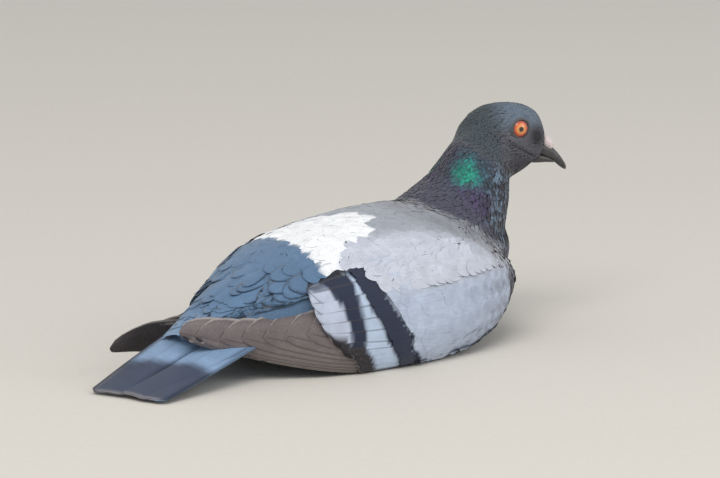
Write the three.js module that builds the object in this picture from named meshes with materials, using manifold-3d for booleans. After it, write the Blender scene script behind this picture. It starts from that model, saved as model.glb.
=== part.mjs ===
import * as THREE from 'three';
import { mergeVertices } from 'three/addons/utils/BufferGeometryUtils.js';
import Module from 'manifold-3d';

// A resting pigeon, life size, in millimetres: +X towards the breast, +Y to the bird's left, +Z up.
// The body lies on its belly, the head is turned to the right, the wings hang along the flanks.

const wasm = await Module();
wasm.setup();

// ---- driving dimensions -------------------------------------------------------------------

const gap = 0.3;                       // clearance kept between neighbouring pieces
const farAway = 600;                   // size of the blocks that cut the body into its pieces
const weld = 1e-4;                     // corners closer than this are one corner
const rodSides = 6;                    // sides of the toes, shanks and claws
const rodEnd = { width: 0.75, depth: 0.3 };   // rounding of a rod's ends, in shares of its radius

const head = {
  middle: [280, -10, 104.7],           // midway between the eyes
  turn: -30,                           // the head looks this far to its right, degrees
  neckCut: [-13, -10],                 // the head is parted from the neck here, behind and below the eyes
  cutLean: 52,                         // lean of that parting plane, degrees
};

const collar = { ahead: 238, height: 64, lean: 66 };   // the plane between neck and trunk

const eye = { radius: 6.3, side: 7.9, around: 12, rings: 9 };

const cere = {
  length: 3.8,
  width: 2.5,
  depth: 2.4,
  apart: 1.75,
  at: [19.6, -10.4],
  lean: 58,
  around: 10,
  rings: 7,
};

const tail = {
  feathers: 12,
  width: 17,
  thickness: 0.9,
  tipRound: 0.35,                      // length of the rounded tip, in widths
  step: 0.5,                           // each feather lies this much under its inner neighbour
  root: [97, 0, 32],
  rootApart: 2.75,
  rootRoll: 1.15,                      // the left roots sit higher than the right ones, per feather
  tip: [-6.6, -7, 1.4],
  tipApart: 2.6,
  tipSkew: -0.62,                      // the left feathers end further back, per feather
  roundness: 0.1,                      // the outer feathers end this much earlier, per feather
};

const primaries = {
  count: 4,
  thickness: 1.1,
  width: 12,
  tipRound: 0.8,
  rootLift: 12,
  tipLift: 5,
  reach: 4,
};

// A flat feather: width of its quill end, where it is full, and how its tip is drawn in.
const vaneForm = { quill: 0.35, fullFrom: 0.3, tipWidth: 0.9, tipBack: 0.2, tipSegments: 3 };

const leg = {
  shankRadius: 2.3,
  toeRadius: 1.75,
  toeTaper: 0.72,
  sink: 0.3,
  spread: 17,
  heelX: 128,
  footX: 156,
};
const toes = [
  { name: 1, length: 15, turn: 207 },
  { name: 2, length: 23, turn: 26 },
  { name: 3, length: 30, turn: 2 },
  { name: 4, length: 24, turn: -24 },
];
const claw = { length: 7, radius: 1.25, tipRadius: 0.35, overlap: 0.5, lower: 0.2, droop: 0.7 };

// How finely each body is divided, how blunt its ends are and how square its sections:
// 2 is an ellipse, and more is squarer.
const bodyForm = {
  trunk: { around: 24, rings: 18, blunt: 2.6, square: 2.25 },
  neck: { around: 22, rings: 12, blunt: 4, square: 2 },
  head: { around: 22, rings: 13, blunt: 3, square: 2.1 },
  upperBill: { around: 11, rings: 9, blunt: 3, square: 2.2 },
  lowerBill: { around: 9, rings: 7, blunt: 3, square: 2.2 },
  wing: { around: 14, rings: 16, blunt: 3.2, square: 2 },
};

// Sections of the body. Each has its centre, half width, reach above and below the centre,
// and the heading (turn) and climb (tilt) of the line that it stands across, in degrees.
const trunkSections = [
  { at: [40, 6, 26], wide: 12, over: 6, under: 6 },
  { at: [58, 2, 27], wide: 20, over: 11.5, under: 11 },
  { at: [80, 0, 29], wide: 32, over: 20, under: 20 },
  { at: [104, 0, 31], wide: 43, over: 29, under: 30 },
  { at: [134, 0, 33], wide: 52, over: 34, under: 35 },
  { at: [170, 0, 34], wide: 56, over: 36.5, under: 37 },
  { at: [204, 0, 36], wide: 55, over: 38, under: 38 },
  { at: [238, 0, 39], wide: 50, over: 35, under: 36 },
  { at: [275, 0, 42], wide: 39, over: 26, under: 28 },
];

const neckSections = [
  { at: [206, 0, 40], wide: 34, over: 28, under: 30, tilt: 30 },
  { at: [232, -1, 56], wide: 34, over: 22, under: 36, tilt: 42, turn: -4 },
  { at: [247, -3, 72], wide: 26, over: 17, under: 30, tilt: 54, turn: -12 },
  { at: [257, -5.5, 87], wide: 19, over: 18.3, under: 20.5, tilt: 60, turn: -20 },
  { at: [268, -8, 102], wide: 13, over: 15, under: 15, tilt: 50, turn: -28 },
];

// Across the head: how far before the eyes, half width, and the heights of crown and jaw.
const headSections = [
  { ahead: -32.5, wide: 9, crown: 5, jaw: -18 },
  { ahead: -20, wide: 12.8, crown: 12.1, jaw: -22 },
  { ahead: -8.5, wide: 13.5, crown: 13.3, jaw: -30.5 },
  { ahead: 2, wide: 12.9, crown: 12.4, jaw: -27.3 },
  { ahead: 9.5, wide: 10.7, crown: 10, jaw: -23 },
  { ahead: 15, wide: 7.7, crown: 6.1, jaw: -21.4 },
  { ahead: 18.8, wide: 4.4, crown: -3.6, jaw: -20 },
];

const upperBillSections = [
  { ahead: 7, wide: 4.6, crown: -9, jaw: -14.4 },
  { ahead: 14, wide: 4.6, crown: -8.4, jaw: -16.8 },
  { ahead: 19, wide: 3.9, crown: -10.3, jaw: -18.6 },
  { ahead: 23.2, wide: 3, crown: -13.7, jaw: -20.4 },
  { ahead: 27.2, wide: 2.1, crown: -18, jaw: -24.3 },
  { ahead: 30.6, wide: 1, crown: -22.8, jaw: -27 },
];

const lowerBillSections = [
  { ahead: 8, wide: 4.3, crown: -14.4, jaw: -21.4 },
  { ahead: 14, wide: 4, crown: -16, jaw: -21.2 },
  { ahead: 19, wide: 3.1, crown: -17.8, jaw: -21 },
  { ahead: 24.4, wide: 1.7, crown: -19.8, jaw: -21.8 },
];

// Across the folded wing: the places of its upper and lower edge, and how far it bulges outwards.
const wingSections = [
  { x: 35, upper: [5, 32], lower: [7, 26.5], bulge: 1.2 },
  { x: 48, upper: [12, 33.5], lower: [15, 23.5], bulge: 1.5 },
  { x: 62, upper: [20, 34], lower: [24, 16.5], bulge: 2 },
  { x: 79, upper: [28, 38], lower: [35, 5.5], bulge: 3 },
  { x: 98, upper: [36, 45], lower: [46, 0.6], bulge: 6 },
  { x: 116, upper: [40, 51], lower: [52, 0], bulge: 9 },
  { x: 140, upper: [44, 56], lower: [56, 0], bulge: 11 },
  { x: 172, upper: [45, 60], lower: [58, 0], bulge: 13 },
  { x: 202, upper: [44, 62], lower: [58, 2], bulge: 13 },
  { x: 226, upper: [41, 57], lower: [53, 9], bulge: 11 },
  { x: 248, upper: [38, 45], lower: [42, 20], bulge: 7 },
];
// The left wing hangs beside the tail: how far each change reaches at the tip and where it starts.
const leftWing = {
  back: { by: 17, from: 80 },
  out: { by: 26, from: 108 },
  drop: { by: 9, from: 150, full: 60 },
};

const colours = {
  slate: 0x5c616c,
  neck: 0x4f5560,
  blueGrey: 0xa9b2c0,
  wing: 0xb9c3d1,
  tail: 0x7d94a8,
  horn: 0x2f2d30,
  cere: 0xdccbc4,
  iris: 0xd0531a,
  foot: 0xa3424a,
  claw: 0x2a2728,
};

const roughness = { feathers: 0.7, horn: 0.45, cere: 0.6, eye: 0.15, claw: 0.4 };

// ---- shaping ------------------------------------------------------------------------------

const up = new THREE.Vector3(0, 0, 1);
const radians = (degrees) => THREE.MathUtils.degToRad(degrees);
const shifted = (point, direction, distance) => point.clone().addScaledVector(direction, distance);

// A smooth value through the sections: share runs from 0 at the first to 1 at the last.
function through(values, share) {
  const last = values.length - 1;
  const i = Math.min(Math.floor(share * last), last - 1);
  const t = share * last - i;
  const a = values[Math.max(i - 1, 0)];
  const b = values[i];
  const c = values[i + 1];
  const d = values[Math.min(i + 2, last)];
  const slopeB = (c - a) / 2;
  const slopeC = (d - b) / 2;
  const t2 = t * t;
  const t3 = t2 * t;
  const between = b * (2 * t3 - 3 * t2 + 1) + c * (3 * t2 - 2 * t3);
  return between + slopeB * (t3 - 2 * t2 + t) + slopeC * (t3 - t2);
}

function toSolid(geometry) {
  const bare = geometry.clone();
  bare.deleteAttribute('normal');
  bare.deleteAttribute('uv');
  const merged = mergeVertices(bare, weld);
  return new wasm.Manifold(new wasm.Mesh({
    numProp: 3,
    vertProperties: new Float32Array(merged.attributes.position.array),
    triVerts: new Uint32Array(merged.index.array),
  }));
}

function toGeometry(solid) {
  const mesh = solid.getMesh();
  const geometry = new THREE.BufferGeometry();
  geometry.setAttribute('position', new THREE.BufferAttribute(new Float32Array(mesh.vertProperties), 3));
  geometry.setIndex(new THREE.BufferAttribute(new Uint32Array(mesh.triVerts), 1));
  geometry.computeVertexNormals();
  return geometry;
}

// The largest body of a cut solid, without the slivers that a cut leaves.
function mainBody(solid) {
  return solid.decompose().reduce((largest, part) => (part.volume() > largest.volume() ? part : largest));
}

// A ball whose rings are laid along the sections; grow swells the whole body by that much.
function bodyAlong(sections, { around, rings, blunt, square }, grow = 0) {
  const field = (name, index) => sections.map((s) => (index === undefined ? s[name] ?? 0 : s[name][index]));
  const tracks = {
    x: field('at', 0),
    y: field('at', 1),
    z: field('at', 2),
    wide: field('wide'),
    over: field('over'),
    under: field('under'),
    turn: field('turn'),
    tilt: field('tilt'),
    roll: field('roll'),
  };
  const ball = new THREE.SphereGeometry(1, around, rings);
  const points = ball.attributes.position;
  const centre = new THREE.Vector3();
  for (let i = 0; i < points.count; i += 1) {
    const along = THREE.MathUtils.clamp(points.getY(i), -1, 1);
    const share = (1 - along) / 2;
    const angle = Math.atan2(points.getZ(i), points.getX(i));
    const ringSize = (1 - Math.abs(along) ** blunt) ** (1 / blunt);
    const placed = Object.entries(tracks).map(([name, values]) => [name, through(values, share)]);
    const at = Object.fromEntries(placed);
    const turn = radians(at.turn);
    const tilt = radians(at.tilt);
    const roll = radians(at.roll);
    const forward = new THREE.Vector3(
      Math.cos(tilt) * Math.cos(turn),
      Math.cos(tilt) * Math.sin(turn),
      Math.sin(tilt),
    );
    const left = new THREE.Vector3(-Math.sin(turn), Math.cos(turn), 0).applyAxisAngle(forward, roll);
    const above = forward.clone().cross(left);
    const cosine = Math.cos(angle);
    const sine = -Math.sin(angle);
    const wide = (at.wide + grow) * Math.sign(cosine) * Math.abs(cosine) ** (2 / square);
    const reach = (sine > 0 ? at.over : at.under) + grow;
    const high = reach * Math.sign(sine) * Math.abs(sine) ** (2 / square);
    centre.set(at.x, at.y, at.z).addScaledVector(forward, -along * grow);
    centre.addScaledVector(left, wide * ringSize).addScaledVector(above, high * ringSize);
    points.setXYZ(i, centre.x, centre.y, centre.z);
  }
  const solid = toSolid(ball);
  return solid.volume() < 0 ? toSolid(flipped(ball)) : solid;
}

function flipped(geometry) {
  const turned = geometry.clone();
  const index = turned.index.array;
  for (let i = 0; i < index.length; i += 3) {
    [index[i], index[i + 1]] = [index[i + 1], index[i]];
  }
  return turned;
}

// A big block with one face through a point; it lies on the side that the direction points to.
function blockBeyond(point, direction) {
  const block = new THREE.BoxGeometry(farAway, farAway, farAway);
  block.translate(0, 0, farAway / 2);
  const turn = new THREE.Quaternion().setFromUnitVectors(up, direction.clone().normalize());
  block.applyQuaternion(turn);
  block.translate(point.x, point.y, point.z);
  return toSolid(block);
}

// A flat vane from root to tip: a narrow quill end, parallel sides and a rounded tip.
function vane({ root, tip, across, width, thickness, tipRound }) {
  const along = tip.clone().sub(root);
  const length = along.length();
  along.normalize();
  const normal = along.clone().cross(across).normalize();
  const side = normal.clone().cross(along);
  const half = width / 2;
  const quill = half * vaneForm.quill;
  const full = length * vaneForm.fullFrom;
  const tipFrom = length - width * tipRound;
  const bend = length - half * vaneForm.tipBack;
  const tipHalf = half * vaneForm.tipWidth;
  const outline = new THREE.Shape();
  outline.moveTo(0, -quill);
  outline.lineTo(full, -half);
  outline.lineTo(tipFrom, -half);
  outline.quadraticCurveTo(bend, -tipHalf, length, 0);
  outline.quadraticCurveTo(bend, tipHalf, tipFrom, half);
  outline.lineTo(full, half);
  outline.lineTo(0, quill);
  outline.closePath();
  const blade = new THREE.ExtrudeGeometry(outline, {
    depth: thickness,
    bevelEnabled: false,
    curveSegments: vaneForm.tipSegments,
  });
  blade.translate(0, 0, -thickness / 2);
  const frame = new THREE.Matrix4().makeBasis(along, side, normal).setPosition(root);
  blade.applyMatrix4(frame);
  return toSolid(blade);
}

// ---- places on the head -------------------------------------------------------------------

const headTurn = radians(head.turn);
const headForward = new THREE.Vector3(Math.cos(headTurn), Math.sin(headTurn), 0);
const headLeft = new THREE.Vector3(-Math.sin(headTurn), Math.cos(headTurn), 0);

function onHead(ahead, side, height) {
  return new THREE.Vector3(...head.middle)
    .addScaledVector(headForward, ahead)
    .addScaledVector(headLeft, side)
    .addScaledVector(up, height);
}

function headBody(sections, form, grow = 0) {
  const placed = sections.map(({ ahead, wide, crown, jaw }) => ({
    at: onHead(ahead, 0, (crown + jaw) / 2).toArray(),
    wide,
    over: (crown - jaw) / 2,
    under: (crown - jaw) / 2,
    turn: head.turn,
  }));
  return bodyAlong(placed, form, grow);
}

function eyeball(side, radius) {
  const ball = new THREE.SphereGeometry(radius, eye.around, eye.rings);
  ball.rotateX(Math.PI / 2);
  const place = onHead(0, side * eye.side, 0);
  ball.translate(place.x, place.y, place.z);
  return toSolid(ball);
}

function cereLobes(grow = 0) {
  const lobes = [-1, 1].map((side) => {
    const lobe = new THREE.SphereGeometry(1, cere.around, cere.rings);
    lobe.scale(cere.length + grow, cere.width + grow, cere.depth + grow);
    lobe.rotateY(radians(cere.lean));
    lobe.rotateZ(headTurn);
    const place = onHead(cere.at[0], side * cere.apart, cere.at[1]);
    lobe.translate(place.x, place.y, place.z);
    return toSolid(lobe);
  });
  return lobes[0].add(lobes[1]);
}

// ---- wings --------------------------------------------------------------------------------

// The share of a change that is reached at x, from none at its start to all of it at its full.
function eased({ by, from, full = wingSections[0].x }, x) {
  return by * THREE.MathUtils.smoothstep(from - x, 0, from - full);
}

function wingSection({ x, upper, lower, bulge }, side) {
  const out = side > 0 ? eased(leftWing.out, x) : 0;
  const back = side > 0 ? eased(leftWing.back, x) : 0;
  const drop = side > 0 ? eased(leftWing.drop, x) : 0;
  const top = [upper[0] + out, upper[1] - drop];
  const foot = [lower[0] + out, Math.max(lower[1] - drop, Math.min(lower[1], 1))];
  const height = Math.hypot(top[0] - foot[0], top[1] - foot[1]);
  const lean = THREE.MathUtils.radToDeg(Math.atan2(foot[0] - top[0], top[1] - foot[1]));
  return {
    at: [x - back, side * (top[0] + foot[0]) / 2, (top[1] + foot[1]) / 2],
    foot: new THREE.Vector3(x - back, side * foot[0], foot[1]),
    wide: bulge,
    over: height / 2,
    under: height / 2,
    roll: side * lean,
  };
}

function wingSolid(side) {
  const sections = wingSections.map((section) => wingSection(section, side));
  let solid = bodyAlong(sections, bodyForm.wing);
  const root = sections[primaries.count + 1].foot.clone().addScaledVector(up, primaries.rootLift);
  for (let i = 1; i <= primaries.count; i += 1) {
    const tip = sections[i].foot.clone().addScaledVector(up, primaries.tipLift);
    const towards = tip.clone().sub(root).normalize();
    tip.addScaledVector(towards, primaries.reach);
    solid = solid.add(vane({
      root,
      tip,
      across: up,
      width: primaries.width,
      thickness: primaries.thickness,
      tipRound: primaries.tipRound,
    }));
  }
  return solid;
}

// ---- tail ---------------------------------------------------------------------------------

function tailSolid() {
  const middle = (tail.feathers - 1) / 2;
  let solid = null;
  for (let i = 0; i < tail.feathers; i += 1) {
    const offset = i - middle;
    const rank = Math.abs(offset) - 0.5;
    const root = new THREE.Vector3(...tail.root).add(new THREE.Vector3(
      0,
      offset * tail.rootApart,
      offset * tail.rootRoll - tail.step * rank,
    ));
    const tip = new THREE.Vector3(...tail.tip).add(new THREE.Vector3(
      offset * tail.tipSkew + tail.roundness * rank,
      offset * tail.tipApart,
      -tail.step * rank / 2,
    ));
    const feather = vane({
      root,
      tip,
      across: new THREE.Vector3(0, 1, tail.rootRoll / tail.rootApart / 2),
      width: tail.width,
      thickness: tail.thickness,
      tipRound: tail.tipRound,
    });
    solid = solid ? solid.add(feather) : feather;
  }
  return solid;
}

// ---- legs ---------------------------------------------------------------------------------

// A round bar with rounded ends, thinner or thicker towards its end.
function rod(from, to, startRadius, endRadius) {
  const axis = to.clone().sub(from);
  const length = axis.length();
  const profile = [
    new THREE.Vector2(0, 0),
    new THREE.Vector2(startRadius * rodEnd.width, startRadius * rodEnd.depth),
    new THREE.Vector2(startRadius, startRadius),
    new THREE.Vector2(endRadius, length - endRadius),
    new THREE.Vector2(endRadius * rodEnd.width, length - endRadius * rodEnd.depth),
    new THREE.Vector2(0, length),
  ];
  const lathe = new THREE.LatheGeometry(profile, rodSides);
  const latheAxis = new THREE.Vector3(0, 1, 0);
  const turn = new THREE.Quaternion().setFromUnitVectors(latheAxis, axis.clone().normalize());
  lathe.applyQuaternion(turn);
  lathe.translate(from.x, from.y, from.z);
  const solid = toSolid(lathe);
  return solid.volume() < 0 ? toSolid(flipped(lathe)) : solid;
}

function toeEnds(side, toe) {
  const turn = radians(side * -toe.turn);
  const start = new THREE.Vector3(leg.footX, side * leg.spread, leg.toeRadius - leg.sink);
  const end = shifted(start, new THREE.Vector3(Math.cos(turn), Math.sin(turn), 0), toe.length);
  return [start, end];
}

function legSolid(side, grow = 0) {
  const heel = new THREE.Vector3(leg.heelX, side * leg.spread, leg.shankRadius - leg.sink);
  const foot = new THREE.Vector3(leg.footX, side * leg.spread, leg.toeRadius - leg.sink);
  let solid = rod(heel, foot, leg.shankRadius + grow, leg.toeRadius + grow);
  for (const toe of toes) {
    const [start, end] = toeEnds(side, toe);
    solid = solid.add(rod(start, end, leg.toeRadius + grow, leg.toeRadius * leg.toeTaper + grow));
  }
  return solid;
}

function clawSolid(side, toe, grow = 0) {
  const [start, end] = toeEnds(side, toe);
  const ahead = end.clone().sub(start).normalize();
  const root = shifted(shifted(end, ahead, -claw.radius * claw.overlap), up, -claw.lower);
  const tip = shifted(shifted(root, ahead, claw.length), up, -claw.radius * claw.droop);
  return rod(root, tip, claw.radius + grow, claw.tipRadius + grow);
}

// ---- the bird -----------------------------------------------------------------------------

const floor = blockBeyond(new THREE.Vector3(0, 0, 0), new THREE.Vector3(0, 0, -1));

// The neck meets the trunk on a sloping plane, and the head on another behind the cheeks.
const collarPoint = new THREE.Vector3(collar.ahead, 0, collar.height);
const collarLean = radians(collar.lean);
const collarDirection = new THREE.Vector3(Math.cos(collarLean), 0, Math.sin(collarLean));
const napePoint = onHead(head.neckCut[0], 0, head.neckCut[1]);
const napeLean = radians(head.cutLean);
const napeAhead = headForward.clone().multiplyScalar(Math.cos(napeLean));
const napeDirection = shifted(napeAhead, up, Math.sin(napeLean));

const wholeBody = bodyAlong(trunkSections, bodyForm.trunk)
  .add(bodyAlong(neckSections, bodyForm.neck))
  .add(headBody(headSections, bodyForm.head));

const aboveCollar = wholeBody.intersect(blockBeyond(collarPoint, collarDirection));
const collarFoot = shifted(collarPoint, collarDirection, -gap);
const belowCollar = wholeBody.subtract(blockBeyond(collarFoot, collarDirection));
const wholeHead = aboveCollar.intersect(blockBeyond(napePoint, napeDirection));
const neckSolid = aboveCollar.subtract(blockBeyond(shifted(napePoint, napeDirection, -gap), napeDirection));

const upperBill = headBody(upperBillSections, bodyForm.upperBill);
const swollenUpper = headBody(upperBillSections, bodyForm.upperBill, gap);
const lowerBill = headBody(lowerBillSections, bodyForm.lowerBill).subtract(swollenUpper);
const billHole = swollenUpper.add(headBody(lowerBillSections, bodyForm.lowerBill, gap));
const cereSolid = cereLobes().subtract(swollenUpper);

const headSolid = wholeHead
  .subtract(billHole)
  .subtract(cereLobes(gap))
  .subtract(eyeball(1, eye.radius + gap))
  .subtract(eyeball(-1, eye.radius + gap));

let footRoom = null;
for (const side of [-1, 1]) {
  let room = legSolid(side, gap);
  for (const toe of toes) {
    room = room.add(clawSolid(side, toe, gap));
  }
  room = room.add(room.translate([0, 0, -leg.toeRadius * 2]));
  footRoom = footRoom ? footRoom.add(room) : room;
}

const trunkSolid = belowCollar.subtract(floor).subtract(footRoom);
const swollenTrunk = bodyAlong(trunkSections, bodyForm.trunk, gap)
  .add(bodyAlong(neckSections, bodyForm.neck, gap));

const bird = new THREE.Group();

function addPiece(name, solid, colour, finish) {
  const material = new THREE.MeshStandardMaterial({ color: colour, roughness: finish, metalness: 0 });
  const mesh = new THREE.Mesh(toGeometry(mainBody(solid)), material);
  mesh.name = name;
  bird.add(mesh);
}

addPiece('trunk', trunkSolid, colours.blueGrey, roughness.feathers);
addPiece('neck', neckSolid, colours.neck, roughness.feathers);
addPiece('head', headSolid, colours.slate, roughness.feathers);
addPiece('bill_upper', upperBill, colours.horn, roughness.horn);
addPiece('bill_lower', lowerBill, colours.horn, roughness.horn);
addPiece('cere', cereSolid, colours.cere, roughness.cere);
addPiece('tail', tailSolid().subtract(swollenTrunk).subtract(floor), colours.tail, roughness.feathers);

for (const [name, side] of [['left', 1], ['right', -1]]) {
  const wing = wingSolid(side).subtract(swollenTrunk).subtract(floor);
  addPiece(`eye_${name}`, eyeball(side, eye.radius), colours.iris, roughness.eye);
  addPiece(`wing_${name}`, wing, colours.wing, roughness.feathers);
  addPiece(`leg_${name}`, legSolid(side).subtract(floor), colours.foot, roughness.feathers);
  for (const toe of toes) {
    const nail = clawSolid(side, toe).subtract(legSolid(side, gap)).subtract(floor);
    addPiece(`claw_${name}_${toe.name}`, nail, colours.claw, roughness.claw);
  }
}

// The origin is the middle of the footprint, on the floor.
const box = new THREE.Box3().setFromObject(bird);
const centre = box.getCenter(new THREE.Vector3());
bird.position.set(-centre.x, -centre.y, -box.min.z);

const group = new THREE.Group();
group.add(bird);

export default group;
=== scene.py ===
import math

import bmesh
import bpy
import numpy as np
from mathutils import Matrix, Vector
from mathutils.bvhtree import BVHTree


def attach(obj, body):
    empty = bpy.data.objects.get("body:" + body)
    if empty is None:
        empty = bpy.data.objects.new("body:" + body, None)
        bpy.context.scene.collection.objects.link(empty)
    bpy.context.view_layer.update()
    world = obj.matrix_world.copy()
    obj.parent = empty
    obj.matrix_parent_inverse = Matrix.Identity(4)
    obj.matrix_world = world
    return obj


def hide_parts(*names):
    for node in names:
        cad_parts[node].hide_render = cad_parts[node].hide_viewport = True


# a resting pigeon, worked out in millimetres: x from the tail tip, y to the bird's left, z up from the floor
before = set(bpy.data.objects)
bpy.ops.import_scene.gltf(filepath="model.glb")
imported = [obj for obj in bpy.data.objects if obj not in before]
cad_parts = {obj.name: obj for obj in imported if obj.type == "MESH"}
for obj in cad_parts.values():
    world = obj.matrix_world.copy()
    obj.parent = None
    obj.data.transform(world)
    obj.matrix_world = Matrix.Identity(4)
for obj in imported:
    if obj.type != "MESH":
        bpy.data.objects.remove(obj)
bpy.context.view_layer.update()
tailTip = -0.14844
dice = np.random.default_rng(11)


def toFrame(points):
    return np.array(points, float) / 1000 + (tailTip, 0, 0)


def toMillimetres(points):
    return (np.array(points, float) - (tailTip, 0, 0)) * 1000


def ease(low, high, value):
    share = np.clip((np.asarray(value, float) - low) / (high - low), 0, 1)
    return share * share * (3 - 2 * share)


def bell(*offsets):
    # 1 in the middle, dying away where the offsets pass 1
    return np.exp(-sum(offset**2 for offset in offsets))


def unit(vectors):
    vectors = np.asarray(vectors, float)
    return vectors / np.maximum(np.linalg.norm(vectors, axis=-1, keepdims=True), 1e-9)


def meshOf(bm, name):
    mesh = bpy.data.meshes.new(name)
    bm.to_mesh(mesh)
    bm.free()
    return mesh


def linked(name, data):
    thing = bpy.data.objects.new(name, data)
    bpy.context.scene.collection.objects.link(thing)
    return thing


# shader nodes: a socket is linked in, anything else is set
def feed(socket, value):
    if isinstance(value, bpy.types.NodeSocket):
        socket.id_data.links.new(value, socket)
    else:
        socket.default_value = value


def addNode(tree, kind, inputs=(), **settings):
    node = tree.nodes.new("ShaderNode" + kind)
    for key, value in settings.items():
        setattr(node, key, value)
    for key, value in dict(inputs).items():
        feed(node.inputs[key], value)
    return node


def mathNode(tree, operation, first, second=0.0, clamp=False):
    return addNode(tree, "Math", {0: first, 1: second}, operation=operation, use_clamp=clamp).outputs[0]


def mixColour(tree, factor, first, second, blend="MIX"):
    return addNode(tree, "Mix", {0: factor, 6: first, 7: second}, data_type="RGBA", blend_type=blend).outputs[2]


def noise(tree, scale, detail, vector=None, roughness=0.5):
    vector = vector or addNode(tree, "TexCoord").outputs["Object"]
    inputs = {"Vector": vector, "Scale": scale, "Detail": detail, "Roughness": roughness}
    return addNode(tree, "TexNoise", inputs).outputs["Fac"]


def ramp(tree, factor, stops):
    # stops: where each colour stands
    node = addNode(tree, "ValToRGB", {"Fac": factor})
    elements = node.color_ramp.elements
    while len(elements) < len(stops):
        elements.new(0.5)
    for element, (place, shade) in zip(elements, stops):
        element.position, element.color = place, (*shade, 1)
    return node.outputs["Color"]


def bumped(tree, height, strength, distance):
    return addNode(tree, "Bump", {"Height": height, "Strength": strength, "Distance": distance}).outputs["Normal"]


def newMaterial(name):
    material = bpy.data.materials.new(name)
    material.use_nodes = True
    return material, material.node_tree


def setShader(tree, inputs):
    for key, value in inputs.items():
        feed(tree.nodes["Principled BSDF"].inputs[key], value)


# camera, lights, floor
view = {"place": (-1.9602, -1.9157, 0.6173), "turn": -46.0, "height": 11.5, "lens": 266.0}
studio = {
    "key": {"power": 26.0, "size": 1.6, "place": (-1.1, -0.6, 1.9), "colour": (1, 0.98, 0.95)},
    "fill": {"power": 9.0, "size": 1.4, "place": (0.9, -1.6, 0.9), "colour": (0.92, 0.96, 1)},
    "aim": (0.02, 0, 0.04),
    "world": 0.62, "worldColour": (0.93, 0.96, 1, 1), "backdrop": (0.80, 0.77, 0.72, 1),
    "floor": (0.70, 0.66, 0.60), "floorDark": (0.93, 0.93, 0.92), "floorSize": 3,
}


def makeCamera():
    data = bpy.data.cameras.new("camera")
    data.lens = view["lens"]
    data.sensor_width = 36
    data.clip_end = 50
    camera = linked("camera", data)
    camera.location = view["place"]
    camera.rotation_euler = (math.radians(90 - view["height"]), 0, math.radians(view["turn"]))
    bpy.context.scene.camera = camera


def makeLamp(name):
    data = bpy.data.lights.new(name, "AREA")
    data.energy = studio[name]["power"]
    data.size = studio[name]["size"]
    data.color = studio[name]["colour"]
    lamp = linked(name, data)
    lamp.location = studio[name]["place"]
    lamp.rotation_euler = (Vector(studio["aim"]) - lamp.location).to_track_quat("-Z", "Y").to_euler()


def makeWorld():
    world = bpy.data.worlds.new("studio")
    bpy.context.scene.world = world
    world.use_nodes = True
    tree = world.node_tree
    tree.nodes.clear()
    light = addNode(tree, "Background", {"Color": studio["worldColour"], "Strength": studio["world"]})
    seen = addNode(tree, "Background", {"Color": studio["backdrop"]})
    path = addNode(tree, "LightPath").outputs
    mirrored = mathNode(tree, "ADD", path["Is Glossy Ray"], path["Is Transmission Ray"])
    direct = mathNode(tree, "ADD", path["Is Camera Ray"], mirrored, clamp=True)
    mix = addNode(tree, "MixShader", {0: direct, 1: light.outputs[0], 2: seen.outputs[0]})
    addNode(tree, "OutputWorld", {0: mix.outputs[0]})


def makeFloor():
    bm = bmesh.new()
    bmesh.ops.create_grid(bm, x_segments=4, y_segments=4, size=studio["floorSize"])
    floor = linked("floor", meshOf(bm, "floor"))
    material, tree = newMaterial("paleFloor")
    pale = studio["floor"]
    dark = [part * share for part, share in zip(pale, studio["floorDark"])]
    grain = ramp(tree, noise(tree, 260, 4), ((0, dark), (1, pale)))
    setShader(tree, {"Base Color": grain, "Roughness": 0.9, "Specular IOR Level": 0.2})
    floor.data.materials.append(material)


makeCamera()
makeLamp("key")
makeLamp("fill")
makeWorld()
makeFloor()
bpy.context.scene.view_settings.view_transform = "Standard"
print("stage ready")

# the line through the body from the bill to the tail, and the frame of the head
bodyLine = np.array([
    (303, -23, 90), (293, -17.5, 98), (280, -10, 104.7), (266, -7.5, 97), (256, -5, 84), (245, -2.5, 68),
    (228, -0.5, 50), (204, 0, 40), (170, 0, 36), (134, 0, 34), (104, 0, 32), (80, 0, 29), (40, 0, 24), (0, -3, 12),
], float)
lineSteps = bodyLine[1:] - bodyLine[:-1]
lineDistance = np.concatenate([[0], np.cumsum(np.linalg.norm(lineSteps, axis=1))])
headMiddle = np.array((280, -10, 104.7))
headTurn = math.radians(-30)
headForward = np.array((math.cos(headTurn), math.sin(headTurn), 0))
headLeft = np.array((-math.sin(headTurn), math.cos(headTurn), 0))
eye = {
    "radius": 6.3, "side": 7.9, "opening": 4.5, "ahead": math.radians(14.5), "look": math.radians(7),
    "lidRaise": 0.35, "lidWidth": 1.0, "lidReach": 7.4, "lidColour": (0.085, 0.085, 0.09),
}
neckFoot = np.array((228, -0.5, 50))
neckUp = unit((0.624, -0.115, 0.773))
neckFront = unit((0.773, -0.14, -0.624))
neckSide = np.cross(neckUp, neckFront)


def onHead(ahead, side, height):
    return headMiddle + headForward * ahead + headLeft * side + np.array((0, 0, height))


def headPlace(points):
    offset = points - headMiddle
    return offset @ headForward, offset @ headLeft, offset[..., 2]


def eyeMiddle(side):
    return onHead(0, side * eye["side"], 0)


def eyeAxis(side, turn=eye["ahead"]):
    return headLeft * side * math.cos(turn) + headForward * math.sin(turn)


def eyeGap(points, side):
    # distance from the line of sight, and how far out along it
    offset = points - eyeMiddle(side)
    out = offset @ eyeAxis(side)
    return np.linalg.norm(offset - out[..., None] * eyeAxis(side), axis=-1), out


def neckPlace(points):
    # height up the neck, and the angle round it: 0 at the front, 180 at the nape
    offset = points - neckFoot
    return offset @ neckUp, np.degrees(np.arctan2(np.abs(offset @ neckSide), offset @ neckFront))


def neckEdge(around):
    # where the neck's dark plumage begins
    return np.interp(around, [40, 90, 150], [13, 9, 6])


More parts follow.
